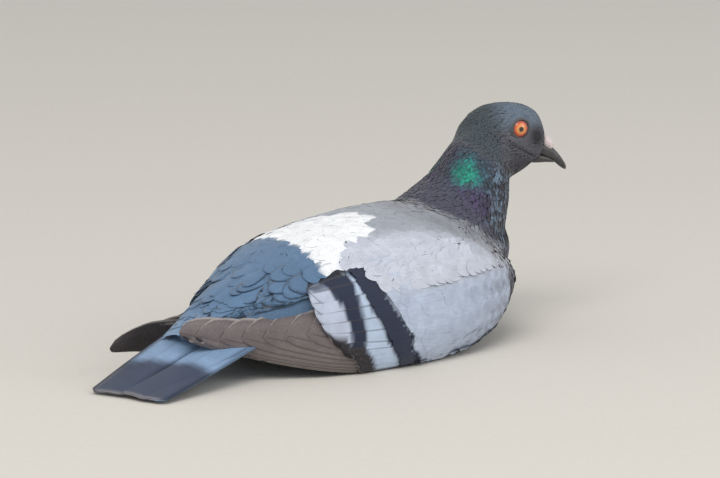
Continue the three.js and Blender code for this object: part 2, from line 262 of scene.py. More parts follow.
def alongBody(points):
    # how far back from the bill, the direction in which feathers lie, and the nearest place on the line
    offset = points[:, None, :] - bodyLine[None, :-1]
    share = np.clip((offset * lineSteps).sum(-1) / (lineSteps**2).sum(-1), 0, 1)
    nearest = bodyLine[None, :-1] + share[..., None] * lineSteps
    away = np.linalg.norm(points[:, None, :] - nearest, axis=-1)
    first = away.argmin(axis=1)
    rows = np.arange(len(points))
    distance = lineDistance[first] + share[rows, first] * np.linalg.norm(lineSteps, axis=1)[first]
    weight = 1 / (away**2 + 60) ** 2.2
    lie = unit((weight[..., None] * unit(lineSteps)).sum(1))
    return distance, lie, nearest[rows, first]


# the folded wing, seen from the side: its outer face, and the lines that its bars follow
wingForm = {
    "x": [35, 48, 62, 79, 98, 116, 140, 172, 202, 226, 248],
    "upperY": [5, 12, 20, 28, 36, 40, 44, 45, 44, 41, 38],
    "upperZ": [32, 33.5, 34, 38, 45, 51, 56, 60, 62, 57, 45],
    "lowerY": [7, 15, 24, 35, 46, 52, 56, 58, 58, 53, 42],
    "lowerZ": [26.5, 23.5, 16.5, 5.5, 0.6, 0, 0, 0, 2, 9, 20],
    "bulge": [1.2, 1.5, 2, 3, 6, 9, 11, 13, 13, 11, 7],
}
# how far the left one is moved, and the places along the body where that begins and is full
leftWing = {"back": (17, 80, 35), "out": (26, 108, 35), "drop": (9, 150, 60)}
barLines = {
    "z": [-5, 3, 11, 18, 26, 32, 40, 46, 53, 60],
    "frontRear": [146, 141, 136, 131.3, 129.3, 125.3, 122.6, 119.6, 121.6, 124],
    "frontFront": [161, 155, 147.5, 146.4, 141, 138, 133.5, 131.6, 130.6, 132],
    "rearFront": [124, 122, 119.6, 119, 119.2, 118.6, 118, 118.2, 119.5, 122],
    "rearRear": [124, 120, 113, 110.9, 110.9, 109.6, 107, 104.5, 101, 99],
    "ends": [116, 113, 110.9, 106, 98.8, 95.6, 95, 97.8, 99, 100],
}


def wingEdge(x, name):
    return np.interp(x, wingForm["x"], wingForm[name])


def barLine(z, name):
    return np.interp(z, barLines["z"], barLines[name])


def wingFace(x, z):
    names = ("lowerY", "upperY", "lowerZ", "upperZ", "bulge")
    lowerY, upperY, lowerZ, upperZ, bulge = (wingEdge(x, name) for name in names)
    share = (z - lowerZ) / (upperZ - lowerZ)
    chord = lowerY + (upperY - lowerY) * np.clip(share, -0.15, 1.15)
    return chord + bulge * np.sqrt(np.maximum(0, 1 - (2 * share - 1) ** 2))


def toLeft(points):
    # the left wing is the right one's mirror image, hanging further out and lower beside the tail
    x, y, z = np.moveaxis(points, -1, 0)
    back, out, drop = (far * ease(0, start - full, start - x) for far, start, full in leftWing.values())
    return np.stack([x - back, out - y, np.maximum(z - drop, np.minimum(z, 1))], axis=-1)


# plumage colours as they look in plain light, except where light is painted: glint is a painted highlight, lores is
# painted shade, and nape is partly painted shade
plumes = {
    "crown": (108, 122, 138), "cheek": (96, 95, 103), "throat": (66, 64, 72), "lores": (34, 35, 42),
    "nape": (64, 76, 82),
    "teal": (32, 120, 130), "green": (26, 166, 138), "dark": (26, 28, 40), "paintedGlint": (122, 146, 168),
    "purple": (82, 60, 102), "slate": (74, 74, 92), "mantleEdge": (128, 128, 134), "mantle": (158, 163, 172),
    "scapular": (200, 204, 216), "white": (250, 251, 252), "rump": (90, 120, 152), "tailBase": (140, 166, 198),
    "tailBand": (56, 66, 88), "breast": (70, 72, 88), "belly": (108, 112, 122), "covert": (182, 193, 212),
    "wrist": (134, 140, 156), "bar": (30, 40, 64), "strip": (190, 206, 228), "secondaryEnd": (192, 200, 218),
    "brown": (120, 110, 110), "underBrown": (42, 38, 44), "quillPale": (186, 178, 174),
}


def colour(name):
    shown = np.array(plumes[name]) / 255
    return np.where(shown <= 0.04045, shown / 12.92, ((shown + 0.055) / 1.055) ** 2.4)


def layered(base, *layers):
    # each layer is a colour's name and how much of it covers what lies below
    for name, amount in layers:
        amount = np.asarray(amount)[..., None]
        base = base * (1 - amount) + colour(name) * amount
    return base


def ripple(points, size, turn=0.0):
    # an uneven wave from -1 to 1, the same each run
    x, y, z = np.moveaxis(points / size, -1, 0)
    first = np.sin(x * 1.7 + 2.1 * np.sin(y * 1.3 + turn) + turn)
    second = np.sin(z * 1.9 + 1.7 * np.sin(x * 1.1 - turn) + 2 * turn)
    third = np.sin(y * 1.5 + 1.9 * np.sin(z * 1.4 + 3 * turn))
    return (first + second + third) / 3


def wingMarks(x, z, shift):
    lines = {name: barLine(z, name) for name in barLines}
    spot = np.stack([x, z, z * 0], -1)
    place = x + shift
    mottled = np.clip(0.35 + 0.7 * ripple(spot, 2.4, 1), 0, 1)
    inFront = ease(-0.5, 0.5, place - lines["frontRear"]) * ease(-0.5, 0.5, lines["frontFront"] - place)
    behind = ease(-0.5, 0.5, lines["frontRear"] - place)
    # the wing's dark top, with the pale strip running up through it
    stripEnd = 1 - 0.85 * bell((x - 106.4 - 0.33 * (z - 45)) / 0.5) * ease(50.5, 49, z)
    top = ease(-0.6, 0.6, z - np.interp(place, [98, 108, 118], [44.5, 47, 50.0])) * behind * stripEnd
    inRear = ease(-0.5, 0.5, place - lines["rearRear"]) * ease(-0.5, 0.5, lines["rearFront"] - place)
    lowEdge = np.interp(place, [95, 101, 111, 119], [27, 23, 17, 14.5])
    low = ease(-0.6, 0.6, lowEdge - z + 0.4 * shift) * ease(-1, 1, 119 + 0.6 * (15 - z) - place)
    return layered(
        np.ones(np.shape(x) + (3,)) * colour("covert"),
        ("wrist", ease(165, 225, x + 10 * ripple(spot, 9)) * mottled),
        ("scapular", ease(36, 44, z) * ease(120, 150, x) * 0.6),
        ("bar", inFront),
        ("strip", behind),
        ("bar", np.maximum(inRear, top * 0.9)),
        ("secondaryEnd", ease(-0.5, 0.5, lines["rearRear"] - place) * (1 - top)),
        ("underBrown", low),
    )


def faceFold(ahead, height):
    # height above the fold behind the corner of the mouth, and where it is marked
    above = height - (-12.5 - 0.55 * np.clip(ahead - 3, -9, 9))
    return above, ease(-9, -3, ahead) * ease(13, 8, ahead)


whiteEdge = {
    "y": [0, 9.6, 11.5, 13.5, 22, 25.5, 26.5, 28, 31, 37, 42],
    "front": [171, 171, 166, 159, 157, 150, 138, 126, 121, 113, 108],
}


def bodyMarks(points, lot=0.5):
    # lot is each feather's own draw between 0 and 1, which sets dark ones and ones with painted glints and painted
    # sheen side by side
    x, y, z = np.moveaxis(points, -1, 0)
    ahead, _, height = headPlace(points)
    climb, around = neckPlace(points)
    climb = climb + 1.6 * ripple(points, 6)
    edge = neckEdge(around)
    topSide = ease(28, 42, z - 0.18 * (x - 200) * (x > 200)) * ease(40, 62, around)
    beside = ease(-6, 7, np.abs(y) - np.interp(x, [120, 150, 180, 215], [22, 27, 35, 43]))
    byNeck = ease(edge - 20, edge - 8, climb) * ease(60, 80, around) * (0.75 + 0.3 * ripple(points, 4.2, 3))
    # lower back white, rump and tail base slate blue
    whiteFront = np.interp(np.abs(y), whiteEdge["y"], whiteEdge["front"]) + 1.2 * ripple(points, 3.1, 2)
    whiteRear = 114.5 + 0.24 * np.clip(y, -30, 16) + 1.2 * ripple(points, 3.5, 4)
    rear = ease(1.2, -1.2, x - whiteRear)
    # neck: slate below, purple and green at the sides, dark with painted pale glints in front; each feather's shine is
    # painted sheen that also brightens its purple, teal and green
    onNeck = ease(edge - 1, edge + 2, climb) * ease(18, 30, z)
    # painted sheen: which feathers shine, for the pale glints and the brighter purple, teal and green
    paintedShine = ease(0.3, 0.7, lot)
    glossy = onNeck * ease(14, 21, climb + 0.1 * (95 - around)) * ease(60, 48, climb)
    gloom = 0.45 + 0.4 * ease(110, 70, around)
    paintedGlintSpots = np.clip(0.55 + 0.6 * ripple(points, 3.1, 7), 0, 1)
    purple = ease(32, 25, climb) * ease(74, 96, around) * ease(178, 140, around) * (0.35 + 0.65 * paintedShine)
    shineAt = np.where((points - neckFoot) @ neckSide > 0, 110, 132)
    patch = bell((climb - 35) / 8.5, (around - shineAt) / 28)
    core = bell((climb - 33) / 6.0, (around - shineAt - 2) / 19)
    # head
    onSkull = ease(44, 54, climb + 0.02 * (130 - around)) * ease(-30, -20, height + 0.35 * np.minimum(ahead, 0))
    aboveFold, folded = faceFold(ahead, height)
    return layered(
        np.ones(points.shape) * colour("belly"),
        ("breast", ease(205, 240, x + 0.25 * z)),
        ("mantle", topSide * ease(100, 150, x + 0.3 * y)),
        ("scapular", topSide * beside * ease(98, 110, x)),
        ("mantleEdge", topSide * byNeck),
        ("white", ease(-1.5, 1.5, whiteFront - x) * (1 - rear) * ease(38, 44, z)),
        ("rump", rear * ease(14, 22, z + 0.1 * x)),
        ("tailBase", rear * ease(62, 44, x) * 0.6),
        ("slate", onNeck),
        ("dark", glossy * gloom * (1 - 0.55 * paintedShine)),
        # painted highlight: pale glints on the front of the neck
        ("paintedGlint", glossy * ease(112, 88, around) * paintedShine * paintedGlintSpots),
        ("purple", glossy * purple),
        ("teal", onNeck * np.clip(1.5 * patch, 0, 1) * (0.35 + 0.55 * paintedShine)),
        ("green", onNeck * np.clip(1.7 * core - 0.1, 0, 1) * (0.4 + 0.6 * paintedShine)),
        ("cheek", onSkull),
        ("crown", onSkull * ease(-4, 6, height + 1.2 * ripple(points, 6))),
        ("throat", onSkull * ease(-15, -21, height)),
        # the back of the head darker: partly the nape's own grey, partly painted shade on the side that faces the key
        # lamp
        ("nape", onSkull * ease(-3, -19, ahead)),
        # painted shade: a dark patch in the hollow between eye and bill
        ("lores", onSkull * np.clip(1.4 * bell((ahead - 11) / 3.8, (height + 5.6) / 4.2), 0, 1)),
        # painted shade in the crease of the fold behind the corner of the mouth
        ("dark", onSkull * bell(aboveFold) * folded * 0.6),
    )


# shapes of the solids, merged into one form
form = {"voxel": 1.4, "rounds": 4, "seamRounds": 22}
# places evened out on the form: the middle of each, its reach and rounds
evened = {"throat": ((279, -11, 76), 17, 30), "breast": ((266, -15, 46), 19, 24), "nape": ((252, 6, 99), 15, 22)}
face = {"loresHollow": 0.9, "brow": 0.45, "cheekSwell": 0.8, "foldDepth": 0.55}
fleshNames = ["trunk", "neck", "head", "wing_left", "wing_right"]


def copyOf(names, squeezeBehind=None):
    bm = bmesh.new()
    for name in names:
        start = len(bm.verts)
        bm.from_mesh(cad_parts[name].data)
        bm.verts.ensure_lookup_table()
        if squeezeBehind and name.startswith("wing"):
            limit = squeezeBehind / 1000 + tailTip
            for vert in bm.verts[start:]:
                if vert.co.x < limit:
                    vert.co.x = limit + (vert.co.x - limit) * 0.04
    bmesh.ops.remove_doubles(bm, verts=bm.verts, dist=1e-6)
    return bm


def treeOf(*names):
    bm = copyOf(names)
    for vert in bm.verts:
        vert.co = Vector(toMillimetres(np.array(vert.co)))
    tree = BVHTree.FromBMesh(bm)
    bm.free()
    return tree


def remeshed(bm, name, voxel, rounds):
    thing = linked(name, meshOf(bm, name))
    remesh = thing.modifiers.new("remesh", "REMESH")
    remesh.mode = "VOXEL"
    remesh.voxel_size = voxel / 1000
    smooth = thing.modifiers.new("smooth", "SMOOTH")
    smooth.factor = 0.5
    smooth.iterations = rounds
    shaped = bpy.data.meshes.new_from_object(thing.evaluated_get(bpy.context.evaluated_depsgraph_get()))
    bpy.data.objects.remove(thing)
    result = bmesh.new()
    result.from_mesh(shaped)
    bpy.data.meshes.remove(shaped)
    return result


def places(bm):
    bm.verts.ensure_lookup_table()
    bm.normal_update()
    points = toMillimetres(np.array([vert.co[:] for vert in bm.verts]))
    return points, np.array([vert.normal[:] for vert in bm.verts])


def putBack(bm, points):
    for vert, place in zip(bm.verts, toFrame(points)):
        vert.co = place


def smoothOut(bm, chosen, rounds):
    verts = [vert for vert in bm.verts if chosen[vert.index]]
    for _ in range(rounds):
        bmesh.ops.smooth_vert(bm, verts=verts, factor=0.5, use_axis_x=True, use_axis_y=True, use_axis_z=True)


def refineFace(bm, reach, rounds):
    for _ in range(rounds):
        points, _ = places(bm)
        cheeks = [onHead(3, side * 11, -3) for side in (-1, 1)]
        close = np.min([np.linalg.norm(points - cheek, axis=1) for cheek in cheeks], axis=0) < reach
        edges = [edge for edge in bm.edges if close[edge.verts[0].index] and close[edge.verts[1].index]]
        bmesh.ops.subdivide_edges(bm, edges=edges, cuts=1, use_grid_fill=True)
        reach -= 2.5
    bmesh.ops.triangulate(bm, faces=[patch for patch in bm.faces if len(patch.verts) > 4])


def rumpTop(x, y):
    crest = np.interp(x, [28, 36, 44, 52, 60, 72, 84, 96], [17.6, 21, 25.5, 30.8, 36.6, 43.8, 50.3, 56.7])
    return crest - 0.009 * (y + 1) ** 2 - 0.00002 * (y + 1) ** 4


def evenOut(bm):
    points, _ = places(bm)
    x, y, z = np.moveaxis(points, -1, 0)
    cap = z - np.maximum(z - rumpTop(x, y), 0) * ease(74, 64, x)
    points[:, 2] = np.where((x < 72) & (z > 14), cap, z)
    putBack(bm, points)
    smoothOut(bm, (np.abs(np.abs(y) - 41) < 13) & (z > 44) & (x > 122) & (x < 238), form["seamRounds"])
    for middle, reach, rounds in evened.values():
        smoothOut(bm, np.linalg.norm(points - np.array(middle), axis=1) < reach, rounds)


def faceForm(points):
    # hollows and swellings of the face, outwards in millimetres
    ahead, side, height = headPlace(points)
    hollow = bell((ahead - 9.5) / 3.6, (height + 3) / 3.4)
    swell = bell((ahead + 5) / 7, (height + 11) / 5)
    brow = bell((np.hypot(ahead, height - 1) - 7.6) / 1.6) * ease(0, 4, height)
    aboveFold, folded = faceFold(ahead, height)
    fold = (bell(aboveFold / 0.8) - 0.6 * bell((aboveFold + 2.2) / 1.5)) * folded
    lift = face["brow"] * brow + face["cheekSwell"] * swell - face["loresHollow"] * hollow - face["foldDepth"] * fold
    return lift * ease(3, 7, np.abs(side)) * ease(-18, -12, ahead)


def coreOf(name, squeezeBehind=None):
    bm = remeshed(copyOf(fleshNames + ["eye_left", "eye_right"], squeezeBehind), name, form["voxel"], form["rounds"])
    evenOut(bm)
    return bm


formMesh = coreOf("form")
refineFace(formMesh, 17, 1)
formPoints, formNormals = places(formMesh)
putBack(formMesh, formPoints + formNormals * faceForm(formPoints)[:, None])
formPoints, _ = places(formMesh)
corners = [[vert.index for vert in part.verts] for part in formMesh.faces]
formTriangles = [[c[0], c[1], c[2]] for c in corners] + [[c[0], c[2], c[3]] for c in corners if len(c) == 4]
formTriangles = np.array(formTriangles)
formMesh.free()
formTree = BVHTree.FromPolygons(formPoints.tolist(), formTriangles.tolist())
wingTrees = {-1: treeOf("wing_right"), 1: treeOf("wing_left")}
fleshTree = treeOf("trunk", "neck", "head")
billTree = treeOf("bill_upper", "bill_lower", "cere")
print("form", len(formTriangles), "triangles")


def coatDepth(points):
    distance, _, _ = alongBody(points)
    depth = np.interp(distance, [0, 12, 30, 55, 90, 130], [0.7, 0.9, 1.3, 1.9, 2.1, 1.9])
    for side in (-1, 1):
        away, out = eyeGap(points, side)
        depth = np.where(out > 0, depth * (0.25 + 0.75 * ease(5.5, 10, away)), depth)
    return depth


def makeVaneGroup():
    # barbs, shaft and margin of one feather, from its own map: u from root to tip, v across
    group = bpy.data.node_groups.new("featherVane", "ShaderNodeTree")
    for name in ("Barbs", "Ragged", "SideFrom", "TipFrom", "Sharpness"):
        group.interface.new_socket(name, in_out="INPUT", socket_type="NodeSocketFloat")
    for name in ("Barb", "Shaft", "Margin", "Height"):
        group.interface.new_socket(name, in_out="OUTPUT", socket_type="NodeSocketFloat")
    entry = group.nodes.new("NodeGroupInput").outputs

    def less(first, second):
        return mathNode(group, "SUBTRACT", first, second)

    def plus(first, second, clamp=False):
        return mathNode(group, "ADD", first, second, clamp)

    def times(first, second, clamp=False):
        return mathNode(group, "MULTIPLY", first, second, clamp)

    uv = addNode(group, "UVMap", uv_map="vane").outputs[0]
    split = addNode(group, "SeparateXYZ", {0: uv}).outputs
    u = split[0]
    across = mathNode(group, "ABSOLUTE", less(split[1], 0.5))
    patchy = less(noise(group, 700, 2), 0.5)
    phase = times(plus(less(u, times(across, 0.55)), times(patchy, 0.06)), entry["Barbs"])
    barb = times(plus(mathNode(group, "SINE", phase), 1), 0.5)
    shaft = mathNode(group, "SUBTRACT", 1, times(across, 26), clamp=True)
    sideEdge = times(less(across, entry["SideFrom"]), entry["Sharpness"], clamp=True)
    tipEdge = times(less(u, entry["TipFrom"]), entry["Sharpness"], clamp=True)
    rag = times(patchy, entry["Ragged"])
    margin = plus(mathNode(group, "MAXIMUM", sideEdge, tipEdge), rag, clamp=True)
    raised = plus(times(barb, 0.35), shaft)
    for socket, value in zip(group.nodes.new("NodeGroupOutput").inputs, (barb, shaft, margin, raised)):
        feed(socket, value)
    return group


vaneGroup = makeVaneGroup()


def toned(tree, shade, grain, strength, least):
    # the colour, mottled by a fine grain
    spread = mathNode(tree, "ADD", mathNode(tree, "MULTIPLY", grain, strength), least)
    return mixColour(tree, 1.0, shade, spread, "MULTIPLY")


def colourLayer(tree, name):
    return addNode(tree, "Attribute", attribute_name=name).outputs["Color"]


def featherMaterial(name, barbs, marks, bump, roughness, sheen=0.2, ragged=0.8, margins=(0.36, 0.9, 9.0)):
    # marks: how strongly barbs, shaft and margin show
    material, tree = newMaterial(name)
    vane = addNode(tree, "Group", node_tree=vaneGroup)
    for socket, value in zip(vane.inputs, (barbs, ragged, *margins)):
        socket.default_value = value
    barb, shaft, margin = (
        mathNode(tree, "MULTIPLY", vane.outputs[key], share) for key, share in zip(("Barb", "Shaft", "Margin"), marks)
    )
    lines = mixColour(tree, barb, colourLayer(tree, "plume"), (0.02, 0.02, 0.03, 1))
    edged = mixColour(tree, margin, lines, colourLayer(tree, "fringe"))
    quill = mixColour(tree, shaft, edged, (0.05, 0.045, 0.05, 1))
    setShader(tree, {
        "Base Color": toned(tree, quill, noise(tree, 180, 5), 0.36, 0.82),
        "Roughness": roughness, "Sheen Weight": sheen, "Sheen Roughness": 0.5, "Specular IOR Level": 0.3,
        "Normal": bumped(tree, vane.outputs["Height"], bump, 0.0003),
    })
    return material


def addColour(mesh, name, colours):
    layer = mesh.color_attributes.new(name, "FLOAT_COLOR", "POINT")
    filled = np.concatenate([colours, np.ones((len(colours), 1))], axis=1)
    layer.data.foreach_set("color", filled.astype(np.float32).ravel())


def fromArrays(name, points, faceGroups, material, maps):
    # big joined meshes come straight from arrays, in millimetres
    mesh = bpy.data.meshes.new(name)
    mesh.vertices.add(len(points))
    mesh.vertices.foreach_set("co", toFrame(points).astype(np.float32).ravel())
    corners = np.concatenate([group.ravel() for group in faceGroups])
    sizes = np.concatenate([np.full(len(group), group.shape[1]) for group in faceGroups])
    mesh.loops.add(len(corners))
    mesh.loops.foreach_set("vertex_index", corners.astype(np.int32))
    mesh.polygons.add(len(sizes))
    mesh.polygons.foreach_set("loop_start", (np.cumsum(sizes) - sizes).astype(np.int32))
    mesh.update(calc_edges=True)
    mesh.polygons.foreach_set("use_smooth", np.ones(len(sizes), bool))
    mesh.materials.append(material)
    for key, spots in maps.items():
        layer = mesh.uv_layers.new(name=key)
        layer.data.foreach_set("uv", spots.reshape(-1, 2)[corners].astype(np.float32).ravel())
    return linked(name, mesh)


# a feather's outline: stations from root to tip, columns across the top, one ridge beneath
def outlineOf(stations, rootWidth, swell, tipFrom, tipWidth, columns, crowd):
    # widths from a narrow root to full width, then round to the tip, where the stations crowd
    u = 1 - (1 - np.linspace(0, 1, stations)) ** crowd
    grow = rootWidth + (1 - rootWidth) * ease(0, swell, u)
    late = np.clip((u - tipFrom) / (1 - tipFrom), 0, 1)
    width = grow * np.maximum(np.sqrt(1 - late**2), tipWidth)
    return {"u": u, "width": width, "columns": np.array(columns, float)}


outlines = {
    "small": outlineOf(6, 0.35, 0.5, 0.5, 0.12, (-1, 0, 1), 1.5),
    "body": outlineOf(7, 0.3, 0.5, 0.55, 0.1, (-1, 0, 1), 1.5),
    "soft": outlineOf(9, 0.3, 0.5, 0.6, 0.1, (-1, -0.5, 0, 0.5, 1), 1.6),
    "covert": outlineOf(16, 0.35, 0.4, 0.72, 0.1, (-1, -0.5, 0, 0.5, 1), 1.4),
    "quill": outlineOf(36, 0.45, 0.3, 0.9, 0.1, (-1, -0.6, -0.12, 0.12, 0.6, 1), 1.25),
    "rectrix": outlineOf(36, 0.4, 0.3, 0.975, 0.72, (-1, -0.6, -0.1, 0.1, 0.6, 1), 1.25),
}


def bladeFaces(stations, ring, count):
    # quads between stations and a cap at each end, for all feathers of a piece
    step = np.arange(stations - 1)[:, None] * ring
    around = np.arange(ring)
    following = (around + 1) % ring
    quads = np.stack([step + around, step + ring + around, step + ring + following, step + following], axis=-1)
    caps = np.stack([around, (stations - 1) * ring + around[::-1]])
    offset = (np.arange(count) * stations * ring)[:, None, None]
    return [(quads.reshape(-1, 4)[None] + offset).reshape(-1, 4), (caps[None] + offset).reshape(-1, ring)]


def spreadOf(outline, halfWidth):
    # how far each column lies from the shaft at each station
    return outline["columns"][None, None, :] * outline["width"][None, :, None] * halfWidth[:, None, None]


def blades(name, outline, top, out, thick, plumeOf, fringeOf, bake, material, soften=None):
    # top holds every feather's upper face, station by station and column by column
    columns = outline["columns"]
    count, stations = top.shape[:2]
    ring = len(columns) + 1
    middle = top[:, :, (len(columns) - 1) // 2 : len(columns) // 2 + 1].mean(axis=2)
    taper = 1 - 0.7 * outline["u"][None, :, None] ** 2
    under = middle - out * np.broadcast_to(thick, count)[:, None, None] * taper
    points = np.concatenate([top, under[:, :, None]], axis=2)
    points[..., 2] = np.maximum(points[..., 2], 0.15 + 0.35 * ease(0, 6, points[..., 2] + 6))
    u = np.broadcast_to(outline["u"][None, :, None], (count, stations, ring))
    v = np.broadcast_to(np.append(columns * 0.5 + 0.5, 0.5)[None, None], (count, stations, ring))
    low, size = bake
    spot = np.stack([low[:, None, None, 0] + u * size, low[:, None, None, 1] + v * size], axis=-1)
    maps = {"OFBake": spot, "vane": np.stack([u, v], axis=-1)}
    thing = fromArrays(name, points.reshape(-1, 3), bladeFaces(stations, ring, count), material, maps)
    addColour(thing.data, "plume", plumeOf(points, u, v).reshape(-1, 3))
    addColour(thing.data, "fringe", fringeOf(points, u, v).reshape(-1, 3))
    if soften is not None:
        soft, share = soften
        own = np.empty(count * stations * ring * 3, np.float32)
        thing.data.vertices.foreach_get("normal", own)
        own = own.reshape(count, stations, ring, 3)
        wanted = np.broadcast_to(soft[:, :, None], own.shape) * np.append(np.ones(ring - 1), -1)[None, None, :, None]
        mixed = unit(own * (1 - share) + wanted * share).reshape(-1, 3)
        thing.data.normals_split_custom_set_from_vertices(mixed.tolist())
    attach(thing, "root")
    print(name, count, "feathers,", len(thing.data.polygons), "faces")
    return thing


def gapsTo(tree, points):
    return np.array([tree.find_nearest(point)[3] for point in points.tolist()])


def nearestOn(tree, points):
    found = [tree.find_nearest(point) for point in points.reshape(-1, 3).tolist()]
    return (np.array([hit[i][:] for hit in found]).reshape(points.shape) for i in (0, 1))


def scattered(spacingOf, accept):
    # points over the form, none closer than the spacing where it lies
    a, b, c = (formPoints[formTriangles[:, i]] for i in range(3))
    cross = np.cross(b - a, c - a)
    area = np.linalg.norm(cross, axis=1) / 2
    number = dice.poisson(area / (0.5 * spacingOf((a + b + c) / 3) ** 2) * 4)
    pick = np.repeat(np.arange(len(area)), number)
    first, second = dice.random(len(pick)), dice.random(len(pick))
    flip = first + second > 1
    first, second = np.where(flip, 1 - first, first), np.where(flip, 1 - second, second)
    points = a[pick] + (b - a)[pick] * first[:, None] + (c - a)[pick] * second[:, None]
    order = dice.permutation(len(points))
    points, normals = points[order], unit(cross)[pick][order]
    keep = accept(points)
    points, normals = points[keep], normals[keep]
    spacing = spacingOf(points)
    cell = 8.0
    steps = [(i, j, k) for i in (-1, 0, 1) for j in (-1, 0, 1) for k in (-1, 0, 1)]
    grid, kept = {}, []
    for index, ((x, y, z), own) in enumerate(zip(points.tolist(), spacing.tolist())):
        i, j, k = int(x // cell), int(y // cell), int(z // cell)
        beside = (other for di, dj, dk in steps for other in grid.get((i + di, j + dj, k + dk), ()))
        if all((x - p) ** 2 + (y - q) ** 2 + (z - r) ** 2 >= own * own for p, q, r in beside):
            grid.setdefault((i, j, k), []).append((x, y, z))
            kept.append(index)
    return points[kept], normals[kept], spacing[kept]


def bodyBake(points, cells=290):
    # a patch of the unwrapped body for each feather, at its root's angle and distance from the bill
    distance, _, axis = alongBody(points)
    across = points - axis
    angle = np.arctan2(across[:, 1], across[:, 2] * np.cos(0.4) - across[:, 0] * np.sin(0.4) * (distance < 90))
    share = (distance - distance.min()) / (np.ptp(distance) + 1e-9)
    want = np.stack([angle / (2 * np.pi) + 0.5, share], axis=1) * (cells - 1)
    taken, low = set(), []
    for column, row in want.round().astype(int).tolist():
        free, reach = [], 0
        while not free:
            span = range(-reach, reach + 1)
            ring = [(column + i, row + j) for i in span for j in span if max(abs(i), abs(j)) == reach]
            free = [spot for spot in ring if 0 <= min(spot) and max(spot) < cells and spot not in taken]
            reach += 1
        taken.add(free[0])
        low.append(free[0])
    return (np.array(low) + 0.06) / cells, 0.003


def sheetBake(count):
    # a cell of its own on the piece's sheet for each long feather
    columns = math.ceil(math.sqrt(count))
    index = np.arange(count)
    return (np.stack([index % columns, index // columns], axis=1) + 0.03) / columns, 0.94 / columns


# tail feathers from right to left; the steps between their groups show at the right side
tail = {
    "tipAcross": (-20.2, -20.0, -9.4, -9.3, 5.0, 5.1, 5.2, 5.3, 5.4, 5.5, 5.6, 5.7),
    "tipAlong": (-3.2, -2.4, -4.4, -3.6, -6.4, -7.2, -7.4, -7.2, -7.0, -6.8, -6.6, -6.4),
    "rootAcross": (-15, -14, -9, -8.5, 8, 9.5, 10.5, 11, 11.5, 12, 12.5, 13),
    "bend": (-1, -1, -4, -4, 0, 0, 0, 0, 0, 0, 0, 0),
    "half": (9.2, 9.2, 12.3, 12.3, 11.5, 11.6, 11.6, 11.5, 11.4, 11.3, 11.2, 11.1),
    # how dark each feather's margin is: the dark ones are painted shadow where one group of feathers ends over the next
    "edge": (0.35, 1, 0.25, 1, 0.25, 0.95, 0.95, 1, 1, 1, 1, 1),
    "root": (97, 32), "tip": (-9, 1.6), "roll": 0.17, "slant": 0.2, "step": 0.5, "droop": 1.5,
}


def tailTop(x, y):
    # higher on the left than on the right, but flat at its tip
    u = np.clip((tail["root"][0] - x) / (tail["root"][0] - tail["tip"][0]), 0, 1)
    level = tail["root"][1] + (tail["tip"][1] - tail["root"][1]) * u + tail["droop"] * 4 * u * (1 - u)
    return level + tail["roll"] * (1 - u**3) * y


body = {
    "distance": [0, 14, 24, 40, 62, 95, 130, 165, 235, 300],
    "spacing": [0.66, 0.72, 0.82, 1.02, 1.4, 2.0, 2.6, 3.1, 3.4, 3.8],
    "rumpSpacing": 4.9, "wristSpacing": 1.9, "wingSpacing": 3.1,
    "lengthPerSpacing": 5.2, "halfWidthPerSpacing": 0.98, "paleWidth": 1.5,
    "press": 0.32, "lobeLift": 0.9, "unruly": 0.1, "tipLift": 0.05, "rumpLift": 0.6,
    "softness": 0.6, "paleSoftness": 0.93, "thickness": 0.16,
}


def rumpAt(points):
    # the scaly part of the lower back and rump, least so at its front and side
    x, y, z = np.moveaxis(points, -1, 0)
    return ease(104, 84, x - 0.5 * np.maximum(-y, 0)) * ease(16, 26, z) * (1 - 0.85 * ease(5, 14, y) * ease(92, 76, x))


def paleAt(points):
    climb, around = neckPlace(points)
    return ease(88, 108, points[..., 0]) * ease(30, 42, points[..., 2]) * ease(3, -4, climb - neckEdge(around))


def lobeAt(points):
    # the scapulars' edge over the top of the folded wing
    x, y, z = np.moveaxis(points, -1, 0)
    return ease(60, 51, z) * ease(102, 114, x) * ease(232, 205, x) * ease(26, 36, np.abs(y))


def spacingAt(points):
    distance, _, _ = alongBody(points)
    spacing = np.interp(distance, body["distance"], body["spacing"])
    return spacing + (body["rumpSpacing"] - spacing) * rumpAt(points)


def wingSpacingAt(points):
    return np.interp(points[:, 0], [150, 232], [body["wingSpacing"], body["wristSpacing"]])


def onDarkTop(points):
    # where the folded wing's dark top lies over the back
    x, y, z = np.moveaxis(points, -1, 0)
    inner = np.interp(x, [95, 97, 107, 113, 118, 123, 128, 131], [39, 35.5, 36.2, 36.4, 36.9, 41.5, 46, 54])
    return (np.abs(y) > inner) & (x > 95) & (x < 131) & (z < 57) & (z > 40)


def insideWing(top):
    # body feathers behind end inside the folded right wing
    x, y, z = np.moveaxis(top, -1, 0)
    wall = np.interp(x, [70, 88], [5.0, 0.0]) - wingEdge(x, "upperY")
    low = (x < 97) & (z < wingEdge(x, "upperZ") + 2.5)
    top[..., 1] = np.where(low, np.maximum(y, wall), y)
    return top


def wingGaps(points):
    # distance from the wing of the same side
    right, left = (gapsTo(wingTrees[side], points) for side in (-1, 1))
    return np.where(points[:, 1] < 0, right, left)


def wingOwn(points):
    # share of the form that the wings' own rows cover, and the flat part behind
    x, y, z = points.T
    close = wingGaps(points) + np.where(x < 98, 0.8, 0) < gapsTo(fleshTree, points)
    seam = np.interp(x, [98, 112, 126, 140, 150, 200, 226, 250], [50, 50, 48, 44.5, 43.5, 45.5, 44, 30])
    return close & (z < seam) & (x < 236), close & (x < np.where(y < 0, 100, 92))


def acceptWing(points):
    ahead = points[:, 0] - barLine(points[:, 2], "frontFront")
    return wingOwn(points)[0] & (ahead > 5) & (points[:, 2] > 0.5)


